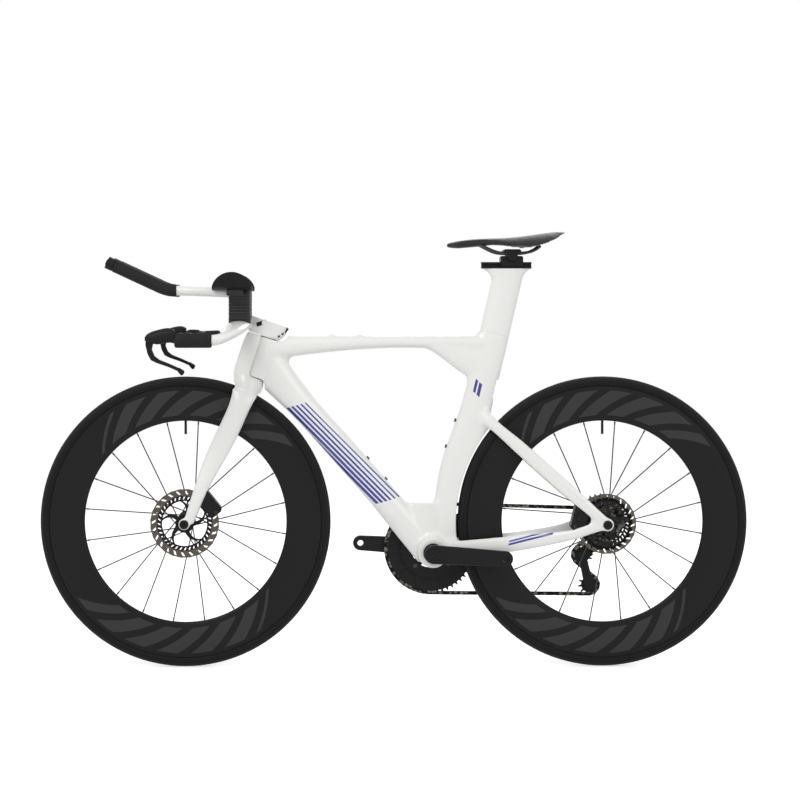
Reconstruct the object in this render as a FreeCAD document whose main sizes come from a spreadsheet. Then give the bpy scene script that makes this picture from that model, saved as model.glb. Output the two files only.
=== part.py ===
# Time trial bicycle: front towards -X, left side towards -Y, ground at Z 0, millimetres
import FreeCAD, Part
import math
import os
import Sketcher

os.makedirs("parts", exist_ok=True)
doc = FreeCAD.newDocument("time_trial_bike")
sheet = doc.addObject("Spreadsheet::Sheet", "Sizes")

# Driving sizes, in millimetres unless the name says angle or count
SIZES = (
    # whole bicycle
    ("wheelbase", 972), ("chainstay_run", 398), ("bb_drop", 69), ("head_angle", 71.5),
    ("fork_rake", 50), ("seat_angle", 76.9), ("seat_setback", 28),
    ("fit_gap", 0.05), ("side_gap", 0.4), ("slide_gap", 0.3), ("overrun", 6),
    # wheels
    ("tyre_radius", 338), ("rim_outer_radius", 316.5), ("rim_depth", 82), ("rim_seat_width", 23),
    ("rim_edge_width", 26), ("rim_nose_width", 13), ("rim_nose_height", 6), ("rim_bulge_radius", 190),
    ("valve_radius", 3), ("valve_length", 31), ("spoke_count", 20), ("spoke_width", 2.4),
    ("spoke_thickness", 1.2), ("spoke_seat", 2.5), ("axle_radius", 6), ("axle_head_radius", 10.5),
    ("axle_head_height", 3), ("hub_end_radius", 9), ("hub_shell_radius", 13), ("flange_radius", 21),
    ("flange_thickness", 3.2), ("front_hub_width", 100), ("front_left_flange", 25),
    ("front_right_flange", 36), ("rear_hub_width", 142), ("rear_left_flange", 37),
    ("rear_right_flange", 19),
    # brake rotors
    ("front_rotor_radius", 80), ("rear_rotor_radius", 70), ("rotor_thickness", 1.8),
    ("rotor_track", 15), ("rotor_slot_length", 10), ("rotor_slot_width", 3.4), ("rotor_slot_count", 24),
    ("rotor_arm_count", 5), ("rotor_arm_width", 9), ("rotor_ring_width", 7), ("rotor_lock_radius", 22),
    ("front_rotor_inset", 10.5), ("rear_rotor_inset", 15.3),
    # calipers and brake pads
    ("caliper_length", 62), ("caliper_depth", 34), ("caliper_width", 30), ("caliper_round", 6),
    ("caliper_slot", 11), ("front_caliper_turn_angle", 39), ("rear_caliper_turn_angle", 166),
    ("pad_length", 26), ("pad_depth", 13), ("pad_thickness", 3.4), ("pad_travel", 0.4),
    ("pad_stop_gap", 0.2),
    # fork and head
    ("fork_length", 369), ("crown_chord", 62), ("crown_width", 74), ("crown_height", 48),
    ("leg_width", 20), ("leg_clearance", 7), ("tyre_clearance", 6), ("dropout_radius", 13),
    ("dropout_thickness", 13), ("steerer_radius", 14.3), ("head_radius", 24), ("head_length", 97),
    ("head_bore_radius", 17), ("head_gap", 1), ("bearing_radius", 21), ("bearing_height", 7),
    ("fairing_reach", 55.5), ("fairing_back", 19), ("fairing_width", 44), ("fairing_gap", 1),
    # frame tubes
    ("down_depth", 69), ("down_width", 46), ("top_height", 434), ("top_depth", 42), ("top_width", 37),
    ("seat_tube_depth", 74), ("seat_tube_width", 33), ("seat_tube_top", 520), ("bb_shell_radius", 35),
    ("bb_shell_width", 86), ("bb_bore_radius", 20.5), ("bb_web_height", 120), ("wheel_cut_gap", 5),
    ("cowl_gap", 2), ("boss_spacing", 64), ("boss_radius", 6), ("boss_height", 3.2),
    ("boss_hole_radius", 2.5), ("boss_depth", 14), ("boss_reach", 198.5), ("bolt_head_radius", 4.5),
    ("bolt_head_height", 3), ("bolt_shank_radius", 2.4), ("bolt_shank_length", 9),
    ("chainstay_depth", 40), ("chainstay_width", 17), ("seatstay_depth", 27),
    ("seatstay_width", 16), ("seatstay_height", 317), ("stay_dropout_radius", 15),
    ("stay_dropout_thickness", 9), ("hanger_drop", 31), ("hanger_back", 10), ("hanger_thickness", 8),
    # seat post and saddle
    ("post_chord", 69), ("post_width", 26), ("post_top", 676), ("post_insert", 110),
    ("post_head_length", 116), ("post_head_height", 32), ("track_length", 116), ("track_height", 15),
    ("track_width", 22), ("track_neck", 12), ("track_lip", 5), ("carriage_length", 52),
    ("carriage_wall", 6), ("tilt_rise", 14.5), ("carriage_back", 12), ("tilt_radius", 12),
    ("clamp_length", 40), ("clamp_height", 15), ("clamp_width", 58),
    ("rail_radius", 3.5), ("rail_spacing", 44), ("saddle_length", 274),
    ("saddle_width", 142), ("saddle_stack", 15),
    ("saddle_reach", 151), ("saddle_height", 43),
    # cockpit
    ("stem_height", 36), ("stem_front", 56), ("stem_back", 35), ("stem_width", 48), ("stem_gap", 1),
    ("wing_chord", 60), ("wing_thickness", 23), ("wing_rise", 7), ("wing_reach", 74),
    ("bar_half_width", 195), ("bar_reach", 139), ("bar_drop", 31),
    ("grip_radius", 12), ("tape_radius", 15.5),
    ("tape_length", 82), ("pod_length", 66), ("pod_height", 36), ("pod_width", 29),
    ("riser_offset", 55), ("riser_length", 50), ("riser_width", 30), ("riser_height", 61),
    ("riser_round", 8), ("spacer_count", 5), ("spacer_groove", 1), ("clamp_block_height", 26),
    ("clamp_block_width", 38), ("bracket_rise", 8),
    ("extension_radius", 11), ("extension_rear", 24), ("extension_run", 172), ("extension_bend_radius", 90),
    ("extension_tilt_angle", 2.2), ("extension_turn_angle", 22.7), ("extension_tip", 118),
    ("extension_tape", 14.5),
    ("extension_bare", 168), ("tip_length", 16), ("button_radius", 7), ("button_out", 2.5),
    ("button_depth", 12), ("button_travel", 1.5),
    ("cup_length", 91), ("cup_radius", 48), ("cup_wall", 4), ("cup_offset", 90), ("cup_centre_height", 54),
    ("cup_wall_height", 47),
    ("pad_foam", 9), ("pad_lip", 3), ("cup_ahead", 15.5), ("cup_edge_rise", 8), ("cup_crest_drop", 6),
    ("side_button_radius", 4), ("side_button_depth", 6), ("side_button_out", 1.2),
    ("lever_width", 9), ("lever_drop", 75), ("lever_back", 72), ("lever_slot", 10.5),
    ("lever_pin_radius", 3), ("lever_pin_back", 11), ("lever_pin_rise", 1),
    # drivetrain
    ("pitch", 12.7), ("chain_line", 47), ("ring_step", 7), ("ring_teeth", 52), ("small_ring_teeth", 36),
    ("ring_thickness", 1.7), ("tooth_height", 2.6), ("tooth_gap_width", 5.3), ("roller_radius", 3.85),
    ("roller_gap", 0.15), ("ring_bolt_circle", 55), ("ring_band", 22), ("ring_lug_radius", 10),
    ("ring_bolt_radius", 5), ("ring_bolt_head", 1.6), ("ring_window_count", 4),
    ("crank_length", 165), ("crank_turn_angle", 3.4), ("crank_boss_radius", 21.5),
    ("crank_end_radius", 17.5),
    ("crank_thickness", 14), ("crank_round", 3), ("crank_face", 73), ("crank_boss_inner", 49.5),
    ("pedal_hole_radius", 7.14), ("spindle_radius", 12), ("spindle_wall", 3), ("spider_thickness", 5),
    ("spider_arm_width", 26), ("cup_flange_radius", 22.5), ("cup_flange_height", 5), ("cassette_out", 64),
    ("sprocket_step", 3.56), ("sprocket_thickness", 1.6), ("core_radius", 17),
    ("lockring_radius", 15), ("lockring_height", 4), ("plate_thickness", 0.7), ("plate_height", 8.4),
    ("roller_width", 2), ("plate_gap", 0.1),
    # rear derailleur
    ("pulley_teeth", 11), ("pulley_thickness", 1.7), ("pulley_bore_radius", 3), ("guide_forward", 37),
    ("guide_drop", 88), ("cage_length", 72), ("cage_turn_angle", 19.4), ("cage_search_angle", 24),
    ("cage_plate", 1.6), ("cage_gap", 3.7), ("cage_round", 11), ("link_length", 50),
    ("link_swing_angle", 23),
    ("link_lean_angle", 30), ("link_width", 20), ("link_thickness", 4), ("link_spread", 16),
    ("link_pin_radius", 2.2), ("knuckle_radius", 11), ("knuckle_length", 22), ("knuckle_gap", 1),
    ("knuckle_rise", 20), ("cage_pin_radius", 5), ("hanger_bolt_radius", 4), ("mount_radius", 12),
    ("mount_length", 14),
    # front derailleur
    ("fd_height", 22), ("fd_overlap", 6), ("fd_plate", 1.4), ("fd_gap", 4.2), ("fd_outer_gap", 5.6),
    ("fd_tooth_gap", 1.5), ("fd_pin_radius", 4),
    ("fd_pin_back", 40), ("fd_pin_height", 144), ("fd_pin_reach", 4.5), ("fd_bore_depth", 14),
    ("fd_arm", 4), ("fd_body_length", 34), ("fd_body_height", 26), ("fd_body_out", 32),
    ("fd_start_angle", 62), ("fd_sweep_angle", 46),
)


class Dim:
    """A size as a number together with the sheet expression that gives it."""

    def __init__(self, number, text):
        self.number = number
        self.text = text

    def join(self, other, sign, number):
        text = other.text if isinstance(other, Dim) else repr(other)
        return Dim(number, "(%s %s %s)" % (self.text, sign, text))

    def __add__(self, other):
        return self.join(other, "+", self.number + value(other))

    def __sub__(self, other):
        return self.join(other, "-", self.number - value(other))

    def __mul__(self, other):
        return self.join(other, "*", self.number * value(other))

    def __truediv__(self, other):
        return self.join(other, "/", self.number / value(other))

    def __neg__(self):
        return Dim(-self.number, "(-%s)" % self.text)


def value(item):
    return item.number if isinstance(item, Dim) else item


# Teeth of the sprockets, smallest first
SPROCKET_TEETH = (11, 12, 13, 14, 15, 16, 17, 19, 21, 24, 27, 30)


class Names:
    pass


# n holds each size as a plain number, d the same size bound to its cell
n = Names()
d = Names()
for row, (name, number) in enumerate(SIZES, start=1):
    sheet.set("A%d" % row, name)
    sheet.set("B%d" % row, str(number))
    sheet.setAlias("B%d" % row, name)
doc.recompute()
for name, number in SIZES:
    setattr(n, name, float(sheet.get(name)))
    setattr(d, name, Dim(float(sheet.get(name)), "Sizes." + name))

V = FreeCAD.Vector
ALONG_X = V(1, 0, 0)
ALONG_Y = V(0, 1, 0)
ALONG_Z = V(0, 0, 1)
nodes = {}


def turn(angle):
    """Rotation about Y that lifts +X towards +Z by an angle in degrees."""
    return FreeCAD.Rotation(ALONG_Y, -angle)


def heading(angle):
    return turn(angle).multVec(ALONG_X)


# Main points of the bicycle
front_axle = V(-n.wheelbase / 2, 0, n.tyre_radius)
rear_axle = V(n.wheelbase / 2, 0, n.tyre_radius)
bottom_bracket = V(n.wheelbase / 2 - n.chainstay_run, 0, n.tyre_radius - n.bb_drop)
steer_up = heading(n.head_angle)
steer_ahead = heading(n.head_angle + 90)
steer_foot = front_axle - steer_ahead * n.fork_rake
seat_up = heading(n.seat_angle)
seat_ahead = heading(n.seat_angle + 90)
seat_foot = bottom_bracket + ALONG_X * n.seat_setback


def steer_at(rise, ahead=0, side=0):
    """Point at a height along the steering axis, a distance ahead of it and to one side."""
    return steer_foot + steer_up * rise + steer_ahead * ahead + ALONG_Y * side


def seat_at(rise, ahead=0, side=0):
    return seat_foot + seat_up * rise + seat_ahead * ahead + ALONG_Y * side


# Helpers for bodies made from sketches
def new_body(node):
    body = doc.addObject("PartDesign::Body", node)
    body.Label = node
    nodes[node] = body
    return body


def place(body, x, y, z):
    for axis, item in (("x", x), ("y", y), ("z", z)):
        if isinstance(item, Dim):
            body.setExpression("Placement.Base." + axis, item.text)


def sketch(body, role, corners, lift=None):
    """Closed outline of (x, y) corners; a third entry is the radius of an arc to the next corner."""
    drawn = body.newObject("Sketcher::SketchObject", body.Name + "_outline")
    base = [item for item in body.Origin.OriginFeatures if item.Role == role][0]
    drawn.AttachmentSupport = [(base, "")]
    drawn.MapMode = "FlatFace"
    if lift is not None:
        drawn.setExpression("AttachmentOffset.Base.z", lift.text)
    points = [V(value(c[0]), value(c[1]), 0) for c in corners]
    ends = []
    for i, corner in enumerate(corners):
        first = points[i]
        last = points[(i + 1) % len(points)]
        if len(corner) < 3:
            drawn.addGeometry(Part.LineSegment(first, last), False)
            ends.append((1, 2))
            continue
        radius = value(corner[2])
        half = (last - first).Length / 2
        across = (last - first).cross(ALONG_Z).normalize()
        depth = math.sqrt(max(radius * radius - half * half, 0))
        bulge = abs(radius) - depth if len(corner) == 3 else abs(radius) + depth
        middle = (first + last) / 2 + across * math.copysign(bulge, radius)
        drawn.addGeometry(Part.Arc(first, middle, last), False)
        ends.append((1, 2) if radius > 0 else (2, 1))
    for i in range(len(corners)):
        after = (i + 1) % len(corners)
        drawn.addConstraint(Sketcher.Constraint("Coincident", i, ends[i][1], after, ends[after][0]))
    for i, corner in enumerate(corners):
        for axis, item in (("DistanceX", corner[0]), ("DistanceY", corner[1])):
            mark = drawn.addConstraint(Sketcher.Constraint(axis, -1, 1, i, ends[i][0], value(item)))
            if isinstance(item, Dim):
                drawn.setExpression("Constraints[%d]" % mark, item.text)
        if len(corner) > 2:
            radius = corner[2] if value(corner[2]) > 0 else -corner[2]
            mark = drawn.addConstraint(Sketcher.Constraint("Radius", i, radius.number))
            drawn.setExpression("Constraints[%d]" % mark, radius.text)
    return drawn


def circle_sketch(body, role, centres, radius, lift=None):
    drawn = body.newObject("Sketcher::SketchObject", body.Name + "_circles")
    base = [item for item in body.Origin.OriginFeatures if item.Role == role][0]
    drawn.AttachmentSupport = [(base, "")]
    drawn.MapMode = "FlatFace"
    if lift is not None:
        drawn.setExpression("AttachmentOffset.Base.z", lift.text)
    for i, (x, y) in enumerate(centres):
        drawn.addGeometry(Part.Circle(V(value(x), value(y), 0), ALONG_Z, radius.number), False)
        for axis, item in (("DistanceX", x), ("DistanceY", y)):
            mark = drawn.addConstraint(Sketcher.Constraint(axis, -1, 1, i, 3, value(item)))
            if isinstance(item, Dim):
                drawn.setExpression("Constraints[%d]" % mark, item.text)
        mark = drawn.addConstraint(Sketcher.Constraint("Radius", i, radius.number))
        drawn.setExpression("Constraints[%d]" % mark, radius.text)
    return drawn


def revolve(body, corners):
    """Turn an outline given as (radius, along Y) about the body's Y axis."""
    drawn = sketch(body, "XY_Plane", corners)
    made = body.newObject("PartDesign::Revolution", body.Name + "_turned")
    made.Profile = drawn
    made.ReferenceAxis = (drawn, ["V_Axis"])
    made.Angle = 360
    return made


def pad(body, drawn, length, midplane=False, backwards=False):
    made = body.newObject("PartDesign::Pad", body.Name + "_pad")
    made.Profile = drawn
    made.setExpression("Length", length.text)
    made.Midplane = midplane
    made.Reversed = backwards
    return made


def pocket(body, drawn, length, midplane=False, backwards=False):
    made = body.newObject("PartDesign::Pocket", body.Name + "_cut")
    made.Profile = drawn
    made.setExpression("Length", length.text)
    made.Midplane = midplane
    made.Reversed = backwards
    return made


def polar(body, feature, drawn, count, axis="N_Axis"):
    made = body.newObject("PartDesign::PolarPattern", body.Name + "_round")
    made.Originals = [feature]
    made.Axis = (drawn, [axis])
    made.Angle = 360
    made.Occurrences = int(count)
    body.Tip = made
    return made


# Helpers for free forms
def keep(node, shape):
    """Add a free form as a document object of its own."""
    item = doc.addObject("Part::Feature", node)
    item.Label = node
    item.Shape = shape
    nodes[node] = item
    return item


def oval(centre, long_way, short_way, length, width):
    """Closed oval wire, its long axis along one direction."""
    curve = Part.Ellipse(V(0, 0, 0), length / 2, width / 2) if length > width else None
    if curve is None:
        curve = Part.Ellipse(V(0, 0, 0), width / 2, length / 2)
        long_way, short_way = short_way, long_way * -1
    wire = Part.Wire([curve.toShape()])
    normal = long_way.cross(short_way)
    wire.Placement = FreeCAD.Placement(centre, FreeCAD.Rotation(long_way, short_way, normal, "ZXY"))
    return wire


def loft(wires, ruled=False):
    return Part.makeLoft(wires, True, ruled)


def rod(start, end, radius):
    return Part.makeCylinder(radius, (end - start).Length, start, end - start)


def block(low, high):
    size = high - low
    return Part.makeBox(size.x, size.y, size.z, low)


def prism(points, along):
    """Solid from a closed row of points pushed along a vector."""
    return Part.Face(Part.makePolygon(list(points) + [points[0]])).extrude(along)


def mirrored(shape):
    return shape.mirror(V(0, 0, 0), ALONG_Y)


def both(shape):
    return Part.makeCompound([shape, mirrored(shape)])


def joined(shapes):
    """One solid from overlapping pieces, with seams between flush faces taken out."""
    return shapes[0].multiFuse(shapes[1:]).removeSplitter()


# Wheels: tyre, rim with valve, spokes, hub, brake rotor and axle
rim_inner = d.rim_outer_radius - d.rim_depth
tyre_rise = d.tyre_radius - d.rim_outer_radius
tyre_half = d.rim_seat_width / 2
tyre_round = (tyre_half * tyre_half + tyre_rise * tyre_rise) / (tyre_rise * 2)
nose_half = d.rim_nose_width / 2
nose_round = (nose_half * nose_half + d.rim_nose_height * d.rim_nose_height) / (d.rim_nose_height * 2)
rim_chamfer = (d.rim_edge_width - d.rim_seat_width) / 2


def make_tyre(node, x):
    body = new_body(node)
    revolve(body, (
        (d.rim_outer_radius, -tyre_half, tyre_round, "large"),
        (d.rim_outer_radius, tyre_half),
    ))
    place(body, x, 0, d.tyre_radius)


def make_rim(node, x):
    body = new_body(node)
    revolve(body, (
        (d.rim_outer_radius, -tyre_half),
        (d.rim_outer_radius, tyre_half),
        (d.rim_outer_radius - rim_chamfer, d.rim_edge_width / 2, d.rim_bulge_radius),
        (rim_inner + d.rim_nose_height, nose_half, nose_round),
        (rim_inner + d.rim_nose_height, -nose_half, d.rim_bulge_radius),
        (d.rim_outer_radius - rim_chamfer, -d.rim_edge_width / 2),
    ))
    stem = circle_sketch(body, "XY_Plane", ((0, 0),), d.valve_radius, rim_inner + d.spoke_seat)
    pad(body, stem, d.valve_length + d.spoke_seat, backwards=True)
    place(body, x, 0, d.tyre_radius)


def make_hub(node, x, width, left_flange, right_flange, inset, right_end):
    body = new_body(node)
    bore = d.axle_radius + d.fit_gap
    left_end = d.side_gap - width / 2
    seat_end = inset - width / 2 - d.rotor_thickness / 2
    half = d.flange_thickness / 2
    revolve(body, (
        (bore, left_end),
        (d.hub_end_radius, left_end),
        (d.hub_end_radius, seat_end),
        (d.hub_shell_radius, seat_end),
        (d.hub_shell_radius, -left_flange - half),
        (d.flange_radius, -left_flange - half),
        (d.flange_radius, half - left_flange),
        (d.hub_shell_radius, half * 3 - left_flange),
        (d.hub_shell_radius, right_flange - half * 3),
        (d.flange_radius, right_flange - half),
        (d.flange_radius, right_flange + half),
        (d.hub_end_radius, right_flange + half),
        (d.hub_end_radius, right_end),
        (bore, right_end),
    ))
    place(body, x, 0, d.tyre_radius)


def make_spokes(node, centre, left_flange, right_flange):
    """Flat bladed spokes, crossing in pairs, from the flanges to the rim."""
    count = int(n.spoke_count)
    start_radius = n.flange_radius - n.spoke_seat
    end_radius = rim_inner.number + n.spoke_seat
    blades = []
    for i in range(count):
        side = -left_flange if i % 2 else right_flange
        lean = spoke_lean_share if (i // 2) % 2 else -spoke_lean_share
        end_angle = 360 * (i + spoke_turn_share) / count
        start_angle = end_angle + lean * 360 / count
        start = heading(start_angle) * start_radius + ALONG_Y * side
        end = heading(end_angle) * end_radius
        way = end - start
        flat = way.cross(ALONG_Y).normalize()
        across = way.cross(flat).normalize()
        corner = centre + start - flat * (n.spoke_thickness / 2) - across * (n.spoke_width / 2)
        face = (corner, corner + flat * n.spoke_thickness,
                corner + flat * n.spoke_thickness + across * n.spoke_width, corner + across * n.spoke_width)
        blades.append(prism(face, way))
    keep(node, Part.makeCompound(blades))


# How far a spoke leans from its radius, in spoke steps, and where the first one stands
spoke_lean_share = 3.6
spoke_turn_share = 0.6


def make_rotor(node, x, radius, width, inset):
    body = new_body(node)
    half = d.rotor_thickness / 2
    track = radius - d.rotor_track
    ring = track - d.rotor_ring_width
    revolve(body, ((track, -half), (radius, -half), (radius, half), (track, half)))
    slot_long = d.rotor_slot_length / 2
    slot_wide = d.rotor_slot_width / 2
    slot_middle = radius - d.rotor_track / 2
    slot = sketch(body, "XZ_Plane", (
        (slot_middle - slot_long * slot_cos_share - slot_wide * slot_sin_share,
         slot_wide * slot_cos_share - slot_long * slot_sin_share),
        (slot_middle - slot_long * slot_cos_share + slot_wide * slot_sin_share,
         -slot_wide * slot_cos_share - slot_long * slot_sin_share),
        (slot_middle + slot_long * slot_cos_share + slot_wide * slot_sin_share,
         slot_long * slot_sin_share - slot_wide * slot_cos_share),
        (slot_middle + slot_long * slot_cos_share - slot_wide * slot_sin_share,
         slot_long * slot_sin_share + slot_wide * slot_cos_share),
    ))
    cut = pocket(body, slot, d.rotor_thickness * 2, midplane=True)
    polar(body, cut, slot, n.rotor_slot_count)
    revolve(body, ((ring, -half), (track, -half), (track, half), (ring, half)))
    arm_inner = (d.rotor_lock_radius + d.hub_shell_radius) / 2
    arm_half = d.rotor_arm_width / 2
    arm = sketch(body, "XZ_Plane", (
        (-arm_half, arm_inner * arm_lean_share),
        (arm_half, arm_inner * arm_lean_share),
        (arm_half + ring * arm_reach_share, ring * arm_height_share),
        (ring * arm_reach_share - arm_half, ring * arm_height_share),
    ))
    made = pad(body, arm, d.rotor_thickness, midplane=True)
    polar(body, made, arm, n.rotor_arm_count)
    revolve(body,
            ((d.hub_shell_radius, -half),
             (d.rotor_lock_radius, -half),
             (d.rotor_lock_radius, half), (d.hub_shell_radius, half)))
    place(body, x, inset - width / 2, d.tyre_radius)


# Slant of the rotor's slots, and the lean of its carrier's arms
slot_cos_share = 0.87
slot_sin_share = 0.5
arm_lean_share = 0.8
arm_reach_share = 0.42
arm_height_share = 0.94


def make_axle(node, x, width, thickness):
    body = new_body(node)
    outer = -(width / 2 + thickness)
    recess = d.axle_radius * recess_share
    revolve(body, (
        (0, outer), (recess, outer), (recess, outer - d.axle_head_height),
        (d.axle_head_radius, outer - d.axle_head_height), (d.axle_head_radius, outer),
        (d.axle_radius, outer), (d.axle_radius, -outer), (0, -outer),
    ))
    place(body, x, 0, d.tyre_radius)


recess_share = 0.6


def make_caliper(centre, radius, angle, plane):
    """Caliper block round the rotor's edge, open towards the hub, with its two brake pads."""
    radial = heading(angle)
    turned = turn(angle)
    spot = centre + radial * (radius - n.rotor_track * caliper_inset_share) + ALONG_Y * plane
    half = V(n.caliper_depth / 2, n.caliper_width / 2, n.caliper_length / 2)
    body = block(half * -1, half)
    body = body.makeChamfer(n.caliper_round, [e for e in body.Edges if abs(e.tangentAt(0).y) > half_share])
    slot = block(V(-half.x - n.overrun, -n.caliper_slot / 2, -half.z - n.overrun),
                 V(half.x - n.caliper_round, n.caliper_slot / 2, half.z + n.overrun))
    piston = Part.makeCylinder(n.pad_depth * half_share, n.caliper_width + n.rotor_thickness * 2,
                               V(0, -half.y - n.rotor_thickness, 0), ALONG_Y)
    body = body.fuse(piston).cut(slot)
    body.Placement = FreeCAD.Placement(spot, turned)
    gap = n.rotor_thickness / 2 + n.pad_travel + n.pad_stop_gap
    shoe = V(n.pad_depth / 2, 0, n.pad_length / 2)
    pads = []
    for side in (-1, 1):
        low = gap if side > 0 else -gap - n.pad_thickness
        pad_shape = block(V(-shoe.x, low, -shoe.z), V(shoe.x, low + n.pad_thickness, shoe.z))
        pad_shape.Placement = FreeCAD.Placement(spot, turned)
        pads.append(pad_shape)
    return body, pads


caliper_inset_share = 0.45
half_share = 0.5

front_x = -(d.wheelbase / 2)
rear_x = d.wheelbase / 2
make_tyre("front_tyre", front_x)
make_tyre("rear_tyre", rear_x)
make_rim("front_rim", front_x)
make_rim("rear_rim", rear_x)
make_hub("front_hub", front_x, d.front_hub_width, d.front_left_flange, d.front_right_flange,
         d.front_rotor_inset, d.front_hub_width / 2 - d.side_gap)
# The inner face of the largest sprocket
stack_inner = d.cassette_out - d.sprocket_step * (len(SPROCKET_TEETH) - 1) - d.sprocket_thickness / 2
make_hub("rear_hub", rear_x, d.rear_hub_width, d.rear_left_flange, d.rear_right_flange,
         d.rear_rotor_inset, stack_inner - d.side_gap)
make_spokes("front_spokes", front_axle, n.front_left_flange, n.front_right_flange)
make_spokes("rear_spokes", rear_axle, n.rear_left_flange, n.rear_right_flange)
make_rotor("front_rotor", front_x, d.front_rotor_radius, d.front_hub_width, d.front_rotor_inset)
make_rotor("rear_rotor", rear_x, d.rear_rotor_radius, d.rear_hub_width, d.rear_rotor_inset)
make_axle("front_thru_axle", front_x, d.front_hub_width, d.dropout_thickness)
make_axle("rear_thru_axle", rear_x, d.rear_hub_width, d.stay_dropout_thickness)


# Fork: two legs, crown, steerer and the fairing in front of the head tube
# Each row: height, middle ahead of the axis, chord, middle to the side, width
leg_shares = (
    (0.895, 0.28, 0.97, 0.513, 1.0),
    (0.607, 0.464, 0.80, 0.584, 0.95),
    (0.336, 0.725, 0.62, 0.76, 0.85),
    (0.225, 0.79, 0.51, 0.895, 0.8),
    (0.11, 0.82, 0.43, 0.985, 0.66),
    (0.02, 0.83, 0.37, 1.0, 0.62),
)
# Each row: height, middle ahead, chord, width
crown_shares = (
    (0.854, 0.234, 0.968, 1.0),
    (0.935, 0.21, 1.13, 0.97),
    (1.0, 0.29, 1.16, 0.72),
)
# Each row: height over the crown, reach, width
fairing_shares = (
    (-0.09, 0.97, 1.0),
    (0.25, 1.01, 1.0),
    (0.6, 1.01, 0.95),
    (0.86, 1.0, 0.9),
    (1.0, 0.95, 0.84),
)
leg_spread = n.front_hub_width / 2 + n.dropout_thickness / 2
crown_top = n.fork_length
head_low = crown_top + n.head_gap
head_high = head_low + n.head_length
stem_low = head_high + n.stem_gap
steerer_top = stem_low + n.stem_height * half_share


def bow(rise, back, front, width):
    """D-shaped wire across the steering axis, flat behind and round in front."""
    left = steer_at(rise, back, -width / 2)
    right = steer_at(rise, back, width / 2)
    return Part.Wire([Part.LineSegment(right, left).toShape(),
                      Part.Arc(left, steer_at(rise, front), right).toShape()])


leg = loft([oval(steer_at(n.fork_length * rise, n.fork_rake * mid, leg_spread * side),
                 steer_ahead, ALONG_Y, n.crown_chord * chord, n.leg_width * width)
            for rise, mid, chord, side, width in leg_shares])
boss = rod(front_axle + ALONG_Y * (n.front_hub_width / 2),
           front_axle + ALONG_Y * (n.front_hub_width / 2 + n.dropout_thickness), n.dropout_radius)
crown = loft([oval(steer_at(n.fork_length * rise, n.crown_chord * mid), steer_ahead, ALONG_Y,
                   n.crown_chord * chord, n.crown_width * width)
              for rise, mid, chord, width in crown_shares])
fairing = loft([bow(crown_top + n.head_length * rise, n.fairing_back, n.fairing_reach * reach,
                    n.fairing_width * width) for rise, reach, width in fairing_shares])
fairing = fairing.cut(rod(steer_at(crown_top), steer_at(stem_low + n.overrun),
                          n.head_radius + n.fairing_gap))
wheel_slot = rod(front_axle - ALONG_Y * (tyre_half.number + n.leg_clearance),
                 front_axle + ALONG_Y * (tyre_half.number + n.leg_clearance),
                 n.tyre_radius + n.tyre_clearance)
axle_bore = rod(front_axle - ALONG_Y * n.front_hub_width, front_axle + ALONG_Y * n.front_hub_width,
                n.axle_radius)
steerer = rod(steer_at(crown_top - n.overrun), steer_at(steerer_top), n.steerer_radius)
fork_shape = joined([crown, leg, mirrored(leg), boss, mirrored(boss), fairing, steerer])
fork_shape = fork_shape.cut(wheel_slot).cut(axle_bore)

caliper, pads = make_caliper(front_axle, n.front_rotor_radius, n.front_caliper_turn_angle,
                             n.front_rotor_inset - n.front_hub_width / 2)
keep("front_caliper", caliper.cut(fork_shape))
keep("front_pad_left", pads[0])
keep("front_pad_right", pads[1])

# Headset bearings, seated in both ends of the head tube
bearing = (rod(steer_at(head_low), steer_at(head_low + n.bearing_height), n.bearing_radius)
           .cut(rod(steer_at(crown_top), steer_at(head_high), n.steerer_radius + n.fit_gap)))
lift = steer_up * (n.head_length - n.bearing_height)
keep("headset_bearings", Part.makeCompound([bearing, bearing.translated(lift)]))

# Frame: head tube, down tube, top tube, seat tube and bottom bracket as one moulding
# Each row: place along the tube, upper edge, lower edge, width
down_shares = (
    (0.0, 0.43, -0.60, 1.12),
    (0.12, 0.43, -0.565, 1.05),
    (0.36, 0.435, -0.50, 1.0),
    (0.60, 0.425, -0.50, 1.0),
    (0.80, 0.44, -0.57, 1.02),
    (0.90, 0.52, -0.66, 1.04),
    (1.0, 0.60, -0.70, 1.0),
)
# Each row: place along the tube, depth under the straight top edge, width
top_shares = (
    (0.0, 1.45, 1.25),
    (0.13, 1.15, 1.1),
    (0.37, 0.83, 0.98),
    (0.59, 0.715, 0.94),
    (0.70, 0.74, 0.92),
    (0.97, 0.8, 0.9),
)
# Each row: place along the tube, top and foot under the top edge, width
gusset_shares = (
    (0.66, 0.2, 0.5, 0.5),
    (0.735, 0.14, 1.0, 0.86),
    (0.83, 0.14, 1.9, 0.86),
    (0.96, 0.14, 3.0, 0.84),
)
# Each row: height up the seat tube, front edge, back edge, width
seat_shares = (
    (1.0, 0.5, -0.473, 1.0),
    (0.83, 0.51, -0.47, 1.0),
    (0.635, 0.53, -0.47, 1.0),
    (0.44, 0.69, -0.55, 1.05),
    (0.325, 0.715, -0.55, 1.1),
    (0.2, 0.64, -0.5, 1.2),
    (0.0, 0.35, -0.35, 1.3),
)
# Each row: height over the bottom bracket, front edge, back edge, width
web_shares = (
    (0.95, -0.42, 0.22, 0.42),
    (0.5, -0.42, 0.36, 0.5),
    (0.0, -0.30, 0.42, 0.66),
)


def span(low, high, across, width):
    """Oval wire whose long axis runs between two edge points."""
    way = high - low
    return oval((low + high) / 2, way.normalize(), across, (high - low).Length, width)


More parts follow.
